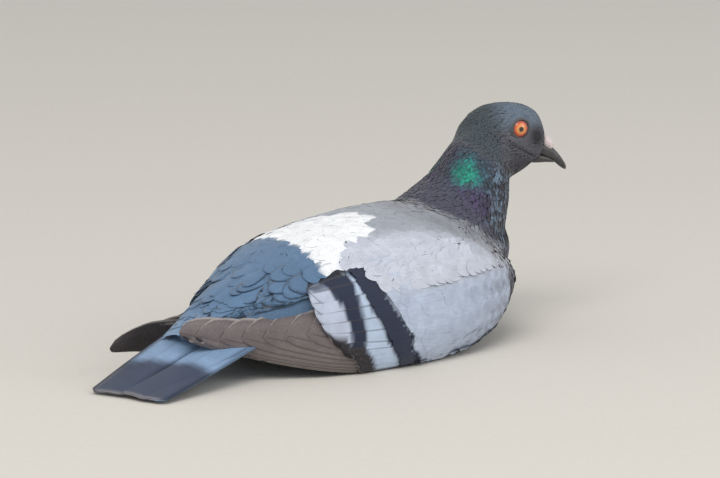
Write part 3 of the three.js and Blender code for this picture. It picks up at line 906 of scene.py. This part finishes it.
def acceptBody(points):
    x, _, z = points.T
    keep = z > 0.4
    for side in (-1, 1):
        away, out = eyeGap(points, side)
        keep &= ~((away < 5.7) & (out > 0))

    def spare(among, taken):
        index = np.nonzero(keep & among)[0]
        keep[index] &= ~taken(points[index])

    def besideWing(some):
        return (wingGaps(some) < 1.5) & (some[:, 2] < wingEdge(some[:, 0], "upperZ") - 7)

    def overTop(some):
        heading = lieAt(some, unit(some - np.array((120, 0, 10))), False)
        return np.any([onDarkTop(some + heading * reach) for reach in (0, 5, 9)], axis=0)

    spare(True, lambda some: np.logical_or(*wingOwn(some)))
    spare(x < 108, besideWing)
    keep &= ~((x < 59) & (z > 13))
    spare((x > 92) & (x < 145) & (z > 40), overTop)
    spare(True, lambda some: gapsTo(billTree, some) <= 0.5)
    return keep


def lieAt(points, normals, onWing):
    x, y, z = points.T

    def towards(*target):
        return unit(np.stack(np.broadcast_arrays(*target), axis=1) - points)

    lie = towards(55.0, np.sign(y) * 45, 24.0) if onWing else alongBody(points)[1]
    # over the shoulders the feathers sweep to the wing's point
    sweep = (ease(20, 36, np.abs(y)) * ease(238, 215, x) * ease(30, 44, z))[:, None]
    lie = unit(lie * (1 - sweep) + towards(60.0, np.sign(y) * 12, 34.0) * sweep)
    for side in (-1, 1):
        away, out = eyeGap(points, side)
        radial = unit(points - eyeMiddle(side) - out[:, None] * eyeAxis(side))
        inwards = np.minimum((lie * radial).sum(1), 0) * ease(13, 6, away) * (out > 0)
        lie = lie - radial * inwards[:, None] * 0.9
    return unit(lie - normals * (lie * normals).sum(1, keepdims=True))


def layBody(name, source, chosen, outlineName, material, onWing=False):
    points, normals, spacing = (part[chosen] for part in source)
    distance, _, _ = alongBody(points)
    outline = outlines[outlineName]
    u = outline["u"]
    count = len(points)
    lie = lieAt(points, normals, onWing)
    lie = unit(lie + unit(np.cross(normals, lie)) * dice.normal(0, body["unruly"], count)[:, None])
    length = spacing * body["lengthPerSpacing"] * dice.uniform(0.88, 1.15, count)
    pale = np.ones(count) if onWing else paleAt(points)
    onRump = rumpAt(points)
    wide = body["halfWidthPerSpacing"] + (body["paleWidth"] - body["halfWidthPerSpacing"]) * pale
    half = spacing * wide * dice.uniform(0.9, 1.12, count)
    for side in (-1, 1):
        away, out = eyeGap(points, side)
        heading = (unit(eyeMiddle(side) - points) * lie).sum(1)
        room = np.maximum(away - 4.9, 0.8) / np.maximum(heading, 0.15)
        length = np.where((out > 0) & (away < 12) & (heading > 0.15), np.minimum(length, room), length)
    straight = points[:, None] + lie[:, None] * (u[None, :, None] - 0.3) * length[:, None, None]
    onForm, faceNormal = nearestOn(formTree, straight)
    # past the rump's end they run on over the tail
    gap = np.linalg.norm(straight - onForm, axis=-1)
    past = (ease(1.5, 6, gap) * ease(82, 66, straight[..., 0]))[..., None]
    runOn = straight.copy()
    runOn[..., 2] = np.maximum(straight[..., 2] - 0.3 * gap, tailTop(straight[..., 0], straight[..., 1]) + 0.7)
    onForm = onForm * (1 - past) + runOn * past
    smoothNormal = unit(faceNormal + 0.6 * normals[:, None])
    # pale feathers press their tips and sides into the ones below; those over the wing's edge stand clear of it
    press = (body["press"] * pale * dice.uniform(0.6, 1.15, count))[:, None]
    lobe = np.zeros(count) if onWing else lobeAt(points)
    climb = -coatDepth(points)[:, None] * (1 - u[None]) ** 2.3 - press * u[None] ** 4 + body["lobeLift"] * lobe[:, None]
    rise = body["tipLift"] * (1 - 0.6 * pale) + onRump * body["rumpLift"]
    lift = (dice.uniform(0.1, 1, count) * rise * spacing)[:, None] * u[None] ** 2.5
    centre = onForm + smoothNormal * (climb + lift)[..., None]
    sideways = unit(np.cross(smoothNormal, unit(np.gradient(centre, axis=1))))
    tone = dice.normal(0, 1, count) * (1 - 0.5 * pale)
    lot = dice.random(count)
    thick = np.full(count, body["thickness"]) * np.clip(spacing / 3, 0.5, 1.2) * (1 - 0.4 * pale)
    reference = onForm[:, -2]

    def marksOf(at, own):
        return wingMarks(at[..., 0], at[..., 2], 0) if onWing else bodyMarks(at, own)

    def plumeOf(at, uAt, vAt):
        where = at * 0.35 + reference[:, None, None] * 0.65
        return marksOf(where, lot[:, None, None]) * (1 + 0.07 * tone[:, None, None, None])

    def fringeOf(at, uAt, vAt):
        climb, _ = neckPlace(reference)
        neckShare = ease(14, 22, climb) * ease(52, 44, climb) * (1 - pale)
        # margins a little darker than the vane; on the rump much darker, painted shadow under the raised tips; on the
        # neck darker, for the feathers' dark bases and painted shade between them
        edge = marksOf(reference, lot) * (0.86 + 0.11 * pale - 0.7 * onRump - 0.3 * neckShare)[:, None]
        return np.broadcast_to(edge[:, None, None], at.shape)

    even = body["softness"] + (body["paleSoftness"] - body["softness"]) * pale
    soften = (unit(unit(normals)[:, None] * 0.4 + faceNormal * 0.6), (even * (1 - 0.65 * onRump))[:, None, None, None])
    spread = spreadOf(outline, half)
    sidePress = press[:, :, None] * (spread / half[:, None, None]) ** 2
    drop = sidePress + spread**2 / (np.interp(distance, [0, 50, 130], [16, 30, 55]))[:, None, None] / 2
    top = centre[:, :, None] + sideways[:, :, None] * spread[..., None] - smoothNormal[:, :, None] * drop[..., None]
    if name in ("back_coat", "belly_coat"):
        top = insideWing(top)
    blades(name, outline, top, smoothNormal, thick, plumeOf, fringeOf, bodyBake(points), material, soften)


softMaterial = featherMaterial("softFeathers", 60.0, (0.14, 0.12, 0.55), 0.22, 0.62)
neckMaterial = featherMaterial("neckFeathers", 44.0, (0.25, 0.1, 0.7), 0.35, 0.42, sheen=0.1)
covertMaterial = featherMaterial("covertFeathers", 110.0, (0.1, 0.12, 0.6), 0.3, 0.6, margins=(0.42, 0.965, 16.0))
longStyle = {"sheen": 0.1, "ragged": 0.5}
quillMaterial = featherMaterial(
    "flightFeathers", 330.0, (0.14, 0.6, 0.85), 0.4, 0.55, margins=(0.445, 0.993, 34.0), **longStyle
)
tailMaterial = featherMaterial(
    "tailFeathers", 330.0, (0.12, 0.15, 0.85), 0.3, 0.55, margins=(0.46, 0.994, 34.0), **longStyle
)

coat = scattered(spacingAt, acceptBody)
coatDistance, _, _ = alongBody(coat[0])
behindNeck, low = coatDistance >= 112, coat[0][:, 2] < 26
layBody("head_coat", coat, coatDistance < 52, "small", neckMaterial)
layBody("neck_coat", coat, (coatDistance >= 52) & ~behindNeck, "body", neckMaterial)
layBody("back_coat", coat, behindNeck & ~low, "soft", softMaterial)
layBody("belly_coat", coat, behindNeck & low, "body", softMaterial)
wingCoat = scattered(wingSpacingAt, acceptWing)
for side, word in ((-1, "right"), (1, "left")):
    onSide = wingCoat[0][:, 1] * side > 0
    layBody("shoulder_" + word, wingCoat, onSide, "soft", softMaterial, onWing=True)
print("coat", len(coat[0]) + len(wingCoat[0]), "feathers")

# the folded wing's rows, drawn on its outer face and then mirrored
wing = {
    "aim": (40, 27),
    "greater": 15, "greaterLength": 36, "greaterHalf": 5.2,
    "median": 16, "medianLength": 26, "medianHalf": 4.8,
    "lesserRows": 3, "lesserStep": 4.2, "lesserLength": 21, "lesserHalf": 3.8,
    "secondaries": 6, "secondaryHalf": 8.6, "browns": 5, "brownHalf": 5.0,
    "primaryTips": [
        (34.8, 28.2), (42, 26), (53, 24), (62.5, 23.5), (72.5, 23.5), (82, 23.5), (92, 24), (101, 24.5), (108, 22),
    ],
    # the left wing's last factor here is painted shade, darkening its flight feathers
    "softness": 0.88, "press": 0.2, "leftWingPaintedShade": 0.4,
    "leftRiseAt": [17, 25, 33, 46, 56, 82, 96, 108],
    "leftRise": [-2.0, -0.6, 0.4, 1.2, 1.4, 2.2, 1.5, 0],
    "leftFoot": [15.4, 13.4, 12, 9.8, 7, 1, 0.5, 0.5],
}


def sideFeathers(tips, half, lift, sink, length=0.0, roots=None, bend=0.0, webs=(1.0, 1.0), taper=0.0):
    # tips (x, z) on the wing's face; each feather runs back from its root to its tip
    if roots is None:
        roots = tips - unit((np.array(wing["aim"]) - tips) * (1, 0.45) + (-30, 0)) * length
    row = {"tips": tips, "roots": roots, "webs": webs}
    row = {key: np.broadcast_to(value, (len(tips), 2)) for key, value in row.items()}
    for key, value in (("half", half), ("lift", lift), ("sink", sink), ("bend", bend), ("taper", taper)):
        row[key] = np.broadcast_to(value, len(tips))
    return row


def facingOut(top, way):
    # upper faces turned the given way, the way each faces, and which ones were turned over
    along = unit(np.gradient(top[:, :, top.shape[2] // 2], axis=1))
    out = unit(np.cross(along, top[:, :, -1] - top[:, :, 0]))
    turned = np.sign((out * way).sum(-1).mean(axis=1))[:, None, None]
    return np.where((turned > 0)[..., None], top, top[:, :, ::-1]), out * turned, turned


def layWing(name, rows, kind, side):
    outline, hug = outlines[kind["outline"]], kind["hug"]
    u, columns = outline["u"], outline["columns"]
    tips, roots, webs, half, lift, sink, bend, taper = (np.concatenate([row[key] for row in rows]) for key in rows[0])
    count = len(tips)
    run = tips - roots
    crossing = unit(np.stack([-run[:, 1], run[:, 0]], axis=1))
    path = roots[:, None] + run[:, None] * u[None, :, None]
    path = path + crossing[:, None] * (bend[:, None] * 4 * u * (1 - u))[..., None]
    heading = unit(np.gradient(path, axis=1))
    acrossWay = np.stack([-heading[..., 1], heading[..., 0]], axis=-1)
    spread = spreadOf(outline, half) * np.where(columns < 0, webs[:, :1], webs[:, 1:])[:, None]
    rise = (lift[:, None] - sink[:, None] * (1 - u[None]) ** 2.2)[..., None] - 0.012 * spread**2
    if hug:
        rise = rise - wing["press"] * u[None, :, None] ** 4
    # the primaries' upper webs draw in over a longer stretch
    slim = 1 - taper[:, None] * (1 - np.sqrt(1 - np.clip((u - 0.78) / 0.22, 0, 1) ** 2))[None]
    spread = spread * np.where(columns < 0, slim[..., None], 1)
    x, z = np.moveaxis(path[:, :, None] + acrossWay[:, :, None] * spread[..., None], -1, 0)
    above = z - wingEdge(x, "upperZ")
    over = np.maximum(0, above)
    top = np.stack([x, 0.75 * over - rise - wingFace(x, z - over), z - 0.7 * over], axis=-1)
    if side > 0:
        top = toLeft(top)
    if side > 0 and not hug:
        # it hangs a little higher behind, to a point at its lower edge
        by, foot = (np.interp(top[..., 0], wing["leftRiseAt"], wing[key]) for key in ("leftRise", "leftFoot"))
        top[..., 2] = np.maximum(top[..., 2] + by * ease(0, 16, top[..., 2]), foot)
    onForm, faceNormal = nearestOn(formTree, top)
    if hug:
        # coverts lie on the rounded form itself where the wing is thick
        share, clear = ease(118, 136, x) * ease(1.5, -1, above), rise
    else:
        # the top ones lap over onto the back
        share, clear = ease(-1, 1, above) * ease(94, 99, x), np.maximum(rise, 0.3 - 3.5 * ease(117, 124, x))
    top = top * (1 - share[..., None]) + (onForm + faceNormal * clear[..., None]) * share[..., None]
    top[..., 2] = np.maximum(top[..., 2], 0.5)
    top, out, turned = facingOut(top, (0, side, 0.25))
    tone = dice.normal(0, 1, count)[:, None, None, None]
    jitter = dice.uniform(-0.7, 0.7, count)[:, None, None]
    # painted shade: the far left wing's flight feathers are darkened
    shade = wing["leftWingPaintedShade"] if side > 0 and not hug else 1

    def flatPlaces(vAt):
        across = (vAt - 0.5) * 2 * half[:, None, None] * outline["width"][None, :, None] * turned
        return np.moveaxis(path[:, :, None] + acrossWay[:, :, None] * across[..., None], -1, 0)

    def plumeOf(at, uAt, vAt):
        return kind["plume"](*flatPlaces(vAt), jitter) * (1 + 0.035 * tone) * shade

    def fringeOf(at, uAt, vAt):
        return kind["fringe"](flatPlaces(vAt)[0], plumeOf(at, uAt, vAt))

    soften = (unit(out.mean(axis=1, keepdims=True) * 0.5 + out), kind["softness"])
    bake = sheetBake(count)
    blades(name, outline, top, out, kind["thickness"], plumeOf, fringeOf, bake, kind["material"], soften)


def onBar(name, heights):
    return np.stack([barLine(heights, name), heights], axis=1)


def covertRows():
    # lesser coverts from the wrist back, then median and greater coverts over the bars
    rows = []
    for k in range(wing["lesserRows"], 0, -1):
        step = k * wing["lesserStep"] + 1
        top, foot = 131 + step * 1.06, 155 + step * 0.86
        count = 15 if k % 2 else 16
        share = (np.arange(count) + 0.5) / count
        across = np.interp(share, (0, 0.5, 1), (top, (top + foot) / 2 - 3 + 0.03 * step, foot))
        spots = np.stack([across, np.interp(share, (0, 1), (53, 1))], axis=1)
        spots += dice.normal(0, 1.1, spots.shape)
        rows.append(sideFeathers(spots, wing["lesserHalf"] - 0.06 * k, 0.9, 2.4, wing["lesserLength"] - 0.3 * k))
    spots = onBar("frontFront", np.linspace(51.5, 2, wing["median"]))
    spots += dice.normal(0, 0.35, spots.shape)
    rows.append(sideFeathers(spots, wing["medianHalf"], 0.75, 2.0, wing["medianLength"]))
    spots = onBar("frontRear", np.linspace(51, 1.5, wing["greater"]))
    spots += dice.normal(0, 0.3, spots.shape)
    lift = np.linspace(0.75, 0.2, wing["greater"])
    rows.append(sideFeathers(spots, wing["greaterHalf"], lift, 1.8, wing["greaterLength"]))
    return rows


def longRows():
    # secondaries with their pale ends, brown ones beneath, then the primaries
    count = wing["secondaries"]
    spots, roots = onBar("ends", np.linspace(44, 18.5, count)), np.linspace((168, 56), (168, 14), count)
    second = sideFeathers(spots, wing["secondaryHalf"], np.linspace(0.8, -1.2, count), 2.6, roots=roots)
    count = wing["browns"]
    spots, roots = np.linspace((110, 14), (116.5, 3), count), np.linspace((170, 12), (170, 2), count)
    browns = sideFeathers(spots, wing["brownHalf"], np.linspace(-1.35, -2.0, count), 1.4, roots=roots)
    # the inner primaries lie on the outer ones, each with a narrow web below and a wide one above
    tips = np.array(wing["primaryTips"], float)
    count = len(tips)
    index = np.arange(count)
    first = sideFeathers(
        tips, 8.0 + 0.55 * index, -1.9 - 0.22 * index[::-1], 0.6,
        roots=np.stack([np.full(count, 165.0), 1.2 + 1.9 * index], axis=1),
        bend=7.6 - 0.5 * index, webs=np.linspace((1.72, 0.42), (1.62, 0.46), count), taper=np.linspace(0.5, 1, count),
    )
    return [second, browns, first]


def covertPlume(x, z, shift):
    # the greater coverts are dark right to their tips
    return wingMarks(np.maximum(x, barLine(z, "frontRear") + 1.2 - shift), z, shift)


def longPlume(x, z, shift):
    order = np.arange(len(x))[:, None, None, None]
    brown = colour("brown") * (0.9 + 0.15 * ripple(np.stack([x, z, z * 0], -1), 7)[..., None])
    return np.where(order >= wing["secondaries"] + wing["browns"], brown, wingMarks(x, z, shift))


def longFringe(x, own):
    order = np.arange(len(own))[:, None, None]
    brownShare = (ease(124, 116, x) * (order >= wing["secondaries"]))[..., None] * 0.9
    return own * 0.93 * (1 - brownShare) + colour("quillPale") * brownShare


wingKinds = {
    "coverts_": {
        "rows": covertRows, "outline": "covert", "material": covertMaterial, "slot": "wing_feathers",
        "plume": covertPlume, "fringe": lambda x, own: own * 0.95,
        "thickness": 0.1, "softness": wing["softness"], "hug": True,
    },
    "flight_": {
        "rows": longRows, "outline": "quill", "material": quillMaterial, "slot": "flight_feathers",
        "plume": longPlume, "fringe": longFringe,
        "thickness": 0.16, "softness": 0.3, "hug": False,
    },
}
for side, word in ((-1, "right"), (1, "left")):
    for start, kind in wingKinds.items():
        layWing(start + word, kind["rows"](), kind, side)


# tail feathers, stacked from the middle outwards
def layTail():
    outline = outlines["rectrix"]
    u = outline["u"]
    count = len(tail["tipAcross"])
    offset = np.arange(count) - (count - 1) / 2
    rank = np.abs(offset) - 0.5
    keys = ("tipAlong", "rootAcross", "tipAcross", "bend")
    tipAlong, rootAcross, tipAcross, bend = (np.array(tail[key])[:, None] for key in keys)
    x = tail["root"][0] + (tipAlong - tail["root"][0]) * u
    y = rootAcross + (tipAcross - rootAcross) * u + bend * 4 * u * (1 - u)
    z = tailTop(x, y) + 0.35 - tail["step"] * rank[:, None] * (1 - u / 2)
    centre = np.stack([x, y, z], axis=-1)
    along = unit(np.gradient(centre, axis=1))
    across = np.stack([np.zeros(len(u)), np.ones(len(u)), tail["roll"] * (1 - u**3)], axis=-1)
    out = unit(np.cross(along, np.broadcast_to(across, along.shape)))
    out = out * np.sign(out[..., 2:])
    sideways = unit(np.cross(out, along))
    tone = dice.normal(0, 1, count)[:, None, None]

    def plumeOf(at, uAt, vAt):
        x = at[..., 0] - 0.8 * tone
        web = np.where(offset[:, None, None] < 0, vAt, 1 - vAt)
        outer = (np.abs(offset) > 4.6)[:, None, None]
        return layered(
            np.ones(at.shape) * colour("tailBase"),
            ("rump", ease(30, 60, x) * 0.5),
            ("tailBand", ease(4, -4, x - 28.5 + 0.43 * np.clip(at[..., 1], -16, 22))),
            ("quillPale", ease(0.985, 0.993, uAt) * 0.5),
            ("tailBase", outer * ease(0.7, 0.8, web) * 0.7),
        ) * (1 + 0.04 * tone[..., None])

    def fringeOf(at, uAt, vAt):
        # dark lines only where one group of feathers ends over the next: painted shadow under that edge
        return plumeOf(at, uAt, vAt) * np.array(tail["edge"])[:, None, None, None]

    spread = spreadOf(outline, np.array(tail["half"]))
    top = centre[:, :, None] + sideways[:, :, None] * spread[..., None]
    top = top - out[:, :, None] * (spread**2 * 0.008)[..., None]
    top[..., 0] -= tail["slant"] * (top[..., 1] - centre[:, :, None, 1]) * (u**6)[None, :, None]
    bake = sheetBake(count)
    piece = blades("tail_feathers", outline, top, out, 0.25, plumeOf, fringeOf, bake, tailMaterial)
    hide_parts("tail")


layTail()

# long soft coverts from the rump down onto the tail, lowest row first
overTail = {"tips": (42, 47, 53, 58, 63), "roots": (75, 79, 84, 88, 93), "each": 9, "half": 4.6, "leftReach": 15.5}


def layOverTail():
    outline = outlines["covert"]
    u = outline["u"]
    rowOf = np.repeat(np.arange(len(overTail["tips"])), overTail["each"])
    count = len(rowOf)
    across = np.tile(np.linspace(-1, 1, overTail["each"]), len(overTail["tips"]))
    across = across + 0.12 * (rowOf % 2) * np.where(dice.random(count) > 0.5, 1, -1) + dice.normal(0, 0.02, count)
    tipX = np.array(overTail["tips"])[rowOf] + dice.normal(0, 0.4, count)
    rootX = np.array(overTail["roots"])[rowOf] + dice.normal(0, 1.5, count)
    x = rootX[:, None] + (tipX - rootX)[:, None] * u
    spread = spreadOf(outline, overTail["half"] * dice.uniform(0.92, 1.08, count))
    # on the right they stop inside the folded primaries, on the left at the tail's edge
    lowest = 9.5 - wingEdge(x, "upperY")
    y = lowest + (overTail["leftReach"] - lowest) * (across[:, None] * 0.5 + 0.5)
    along = unit(np.stack([np.gradient(x, axis=1), np.gradient(y, axis=1)], axis=-1))[:, :, None]
    flatX, flatY = x[:, :, None] - along[..., 1] * spread, y[:, :, None] + along[..., 0] * spread
    rise = 0.25 + 0.28 * rowOf[:, None] + 0.25 * u - 2.2 * (1 - u) ** 2
    surface = np.maximum(rumpTop(flatX, flatY), tailTop(flatX, flatY) + 0.5)
    top = insideWing(np.stack([flatX, flatY, surface + rise[:, :, None] - 0.01 * spread**2], axis=-1))
    top, out, _ = facingOut(top, (0, 0, 1))
    tone = dice.normal(0, 1, count)[:, None, None, None]

    def plumeOf(at, uAt, vAt):
        return bodyMarks(at) * (1 + 0.04 * tone)

    def fringeOf(at, uAt, vAt):
        return bodyMarks(at) * 0.82

    soften = (unit(out.mean(axis=1, keepdims=True) * 0.3 + out), 0.6)
    bake = sheetBake(count)
    blades("tail_coverts", outline, top, out, 0.14, plumeOf, fringeOf, bake, covertMaterial, soften)


layOverTail()

# one skin under the coat, with the legs grown into it
skin = {"voxel": 1.25, "rounds": 2, "squeezeBehind": 113, "lowest": 0.3, "footColour": (0.36, 0.06, 0.07)}


def skinPoints(points, normals):
    points = points + normals * faceForm(points)[:, None]
    for side in (-1, 1):
        away, out = eyeGap(points, side)
        margin = math.sqrt(eye["radius"] ** 2 - eye["opening"] ** 2)
        ball = np.sqrt(np.maximum(eye["radius"] ** 2 - np.minimum(away, eye["radius"]) ** 2, 0))
        swell = np.sin(np.pi * ease(0, 1, (away - eye["opening"]) / eye["lidWidth"] * 0.5 + 0.25))
        wanted = np.where(away < eye["opening"], ball - 1.3, margin + eye["lidRaise"] * swell)
        share = ease(eye["lidReach"], eye["opening"] + eye["lidWidth"], away) * (out > 0)
        points = points + eyeAxis(side) * ((wanted - out) * share)[:, None]
    # the tail end draws in under the coverts
    behind = np.maximum(52 - points[:, 0], 0) * (points[:, 2] > 9)
    points[:, 0] += 0.6 * behind
    points[:, 2] = np.maximum(points[:, 2] - 0.12 * behind, skin["lowest"])
    return points


def skinMarks(points):
    x, y, z = points.T
    marks = bodyMarks(points) * 0.85
    onWing = (np.abs(y) > wingFace(x, z) - 6) & (z < 46) & (x > 98) & (x < 238)
    marks[onWing] = wingMarks(x[onWing], z[onWing], 0) * 0.8
    lidShare = np.zeros(len(points))
    for side in (-1, 1):
        away, out = eyeGap(points, side)
        lidShare = np.maximum(lidShare, ease(6.6, 5.6, away) * (out > 0))
    marks = marks * (1 - lidShare[:, None]) + np.array(eye["lidColour"]) * lidShare[:, None]
    marks[(z < 4.6) & (x > 120) & (x < 192) & (np.abs(np.abs(y) - 17) < 12)] = skin["footColour"]
    return marks


def makeSkin():
    inner = coreOf("inner", skin["squeezeBehind"])
    points, normals = places(inner)
    putBack(inner, points - normals * coatDepth(points)[:, None])
    for name in ("leg_left", "leg_right"):
        inner.from_mesh(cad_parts[name].data)
    bmesh.ops.remove_doubles(inner, verts=inner.verts, dist=1e-6)
    bm = remeshed(inner, "skinForm", skin["voxel"], skin["rounds"])
    refineFace(bm, 18, 2)
    points = skinPoints(*places(bm))
    putBack(bm, points)
    bmesh.ops.recalc_face_normals(bm, faces=bm.faces)
    mesh = meshOf(bm, "skin")
    mesh.shade_smooth()
    addColour(mesh, "plume", skinMarks(points))
    material, tree = newMaterial("skinAndDown")
    down = noise(tree, 900, 6)
    setShader(tree, {
        "Base Color": toned(tree, colourLayer(tree, "plume"), down, 0.5, 0.7),
        "Roughness": 0.7, "Normal": bumped(tree, down, 0.5, 0.0004),
    })
    mesh.materials.append(material)
    thing = linked("skin", mesh)
    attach(thing, "root")
    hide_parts("trunk", "neck", "head", "wing_left", "wing_right", "leg_left", "leg_right")
    print("skin", len(mesh.polygons), "faces")


makeSkin()


# bill and cere: the solids' own shapes, rounded off
def rounded(name, nodeName, material, swell, levels=2):
    bm = copyOf([nodeName])
    bm.normal_update()
    for vert in bm.verts:
        vert.co += vert.normal * swell
    thing = linked(name, meshOf(bm, name))
    thing.data.shade_smooth()
    smooth = thing.modifiers.new("rounding", "SUBSURF")
    smooth.levels = levels
    smooth.render_levels = levels
    thing.data.materials.append(material)
    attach(thing, "root")
    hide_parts(nodeName)


def grownMaterial(name, dark, pale, scale, roughness, bump, distance, coat=0.0):
    material, tree = newMaterial(name)
    grain = noise(tree, scale, 6, roughness=0.65)
    setShader(tree, {
        "Base Color": ramp(tree, grain, ((0.3, dark), (0.75, pale))),
        "Roughness": roughness, "Coat Weight": coat, "Normal": bumped(tree, grain, bump, distance),
    })
    return material


hornMaterial = grownMaterial("billHorn", (0.018, 0.017, 0.019), (0.075, 0.07, 0.072), 420, 0.38, 0.25, 0.0003, 0.2)
cereMaterial = grownMaterial("chalkyCere", (0.60, 0.49, 0.47), (0.84, 0.76, 0.74), 700, 0.7, 0.6, 0.0004)
clawMaterial = grownMaterial("clawHorn", (0.015, 0.014, 0.014), (0.06, 0.05, 0.05), 500, 0.35, 0.2, 0.0002, 0.2)
rounded("bill_top", "bill_upper", hornMaterial, 0.0003)
rounded("bill_bottom", "bill_lower", hornMaterial, 0.0004)
rounded("nose_cere", "cere", cereMaterial, 0.0006)
for nodeName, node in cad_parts.items():
    if nodeName.startswith("claw"):
        node.data.materials.clear()
        node.data.materials.append(clawMaterial)

# rings of the iris, from the pupil's middle to the rim
iris = (
    (0.0, (0.004, 0.004, 0.004)), (0.285, (0.004, 0.004, 0.004)), (0.32, (0.75, 0.30, 0.08)),
    (0.55, (0.80, 0.26, 0.05)), (0.72, (0.62, 0.09, 0.02)), (0.93, (0.40, 0.04, 0.015)), (1.0, (0.03, 0.015, 0.012)),
)


def eyeMaterial():
    material, tree = newMaterial("eyeball")
    uv = addNode(tree, "UVMap", uv_map="sight").outputs[0]
    away = addNode(tree, "SeparateXYZ", {0: uv}).outputs[1]
    stretch = addNode(tree, "Mapping", {"Vector": uv, "Scale": (90, 5, 1)}).outputs[0]
    fibres = mathNode(tree, "SUBTRACT", noise(tree, 1.0, 5, stretch), 0.5)
    rings = mathNode(tree, "ADD", away, mathNode(tree, "MULTIPLY", fibres, 0.12))
    setShader(tree, {
        "Base Color": ramp(tree, rings, iris),
        "Roughness": 0.35, "Coat Weight": 1.0, "Coat Roughness": 0.02,
    })
    return material


ballMaterial = eyeMaterial()


def makeEye(side, word):
    # a ball with its pole along the line of sight, so that rings round the pole draw the iris
    bm = bmesh.new()
    bmesh.ops.create_uvsphere(bm, u_segments=40, v_segments=36, radius=eye["radius"] / 1000)
    sight = bm.loops.layers.uv.new("sight")
    for ballFace in bm.faces:
        ballFace.smooth = True
        middle = ballFace.calc_center_median()
        facing = math.atan2(middle.y, middle.x)
        for loop in ballFace.loops:
            co = loop.vert.co
            away = math.hypot(co.x, co.y) * 1000 / eye["opening"] if co.z >= 0 else 2
            angle = math.atan2(co.y, co.x) if away > 0.02 else facing
            if angle - facing > math.pi:
                angle -= 2 * math.pi
            if facing - angle > math.pi:
                angle += 2 * math.pi
            loop[sight].uv = (angle / (2 * math.pi) + 0.5, min(away, 1.0))
    # it looks a little further back than its lids open
    turn = Vector(eyeAxis(side, eye["look"])).to_track_quat("Z", "Y").to_matrix().to_4x4()
    place = Matrix.Translation(Vector(toFrame(eyeMiddle(side))))
    bmesh.ops.transform(bm, matrix=place @ turn, verts=bm.verts)
    thing = linked("eyeball_" + word, meshOf(bm, "eyeball_" + word))
    thing.data.materials.append(ballMaterial)
    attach(thing, "root")
    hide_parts("eye_" + word)


makeEye(-1, "right")
makeEye(1, "left")
print("eyes, bill and claws done")
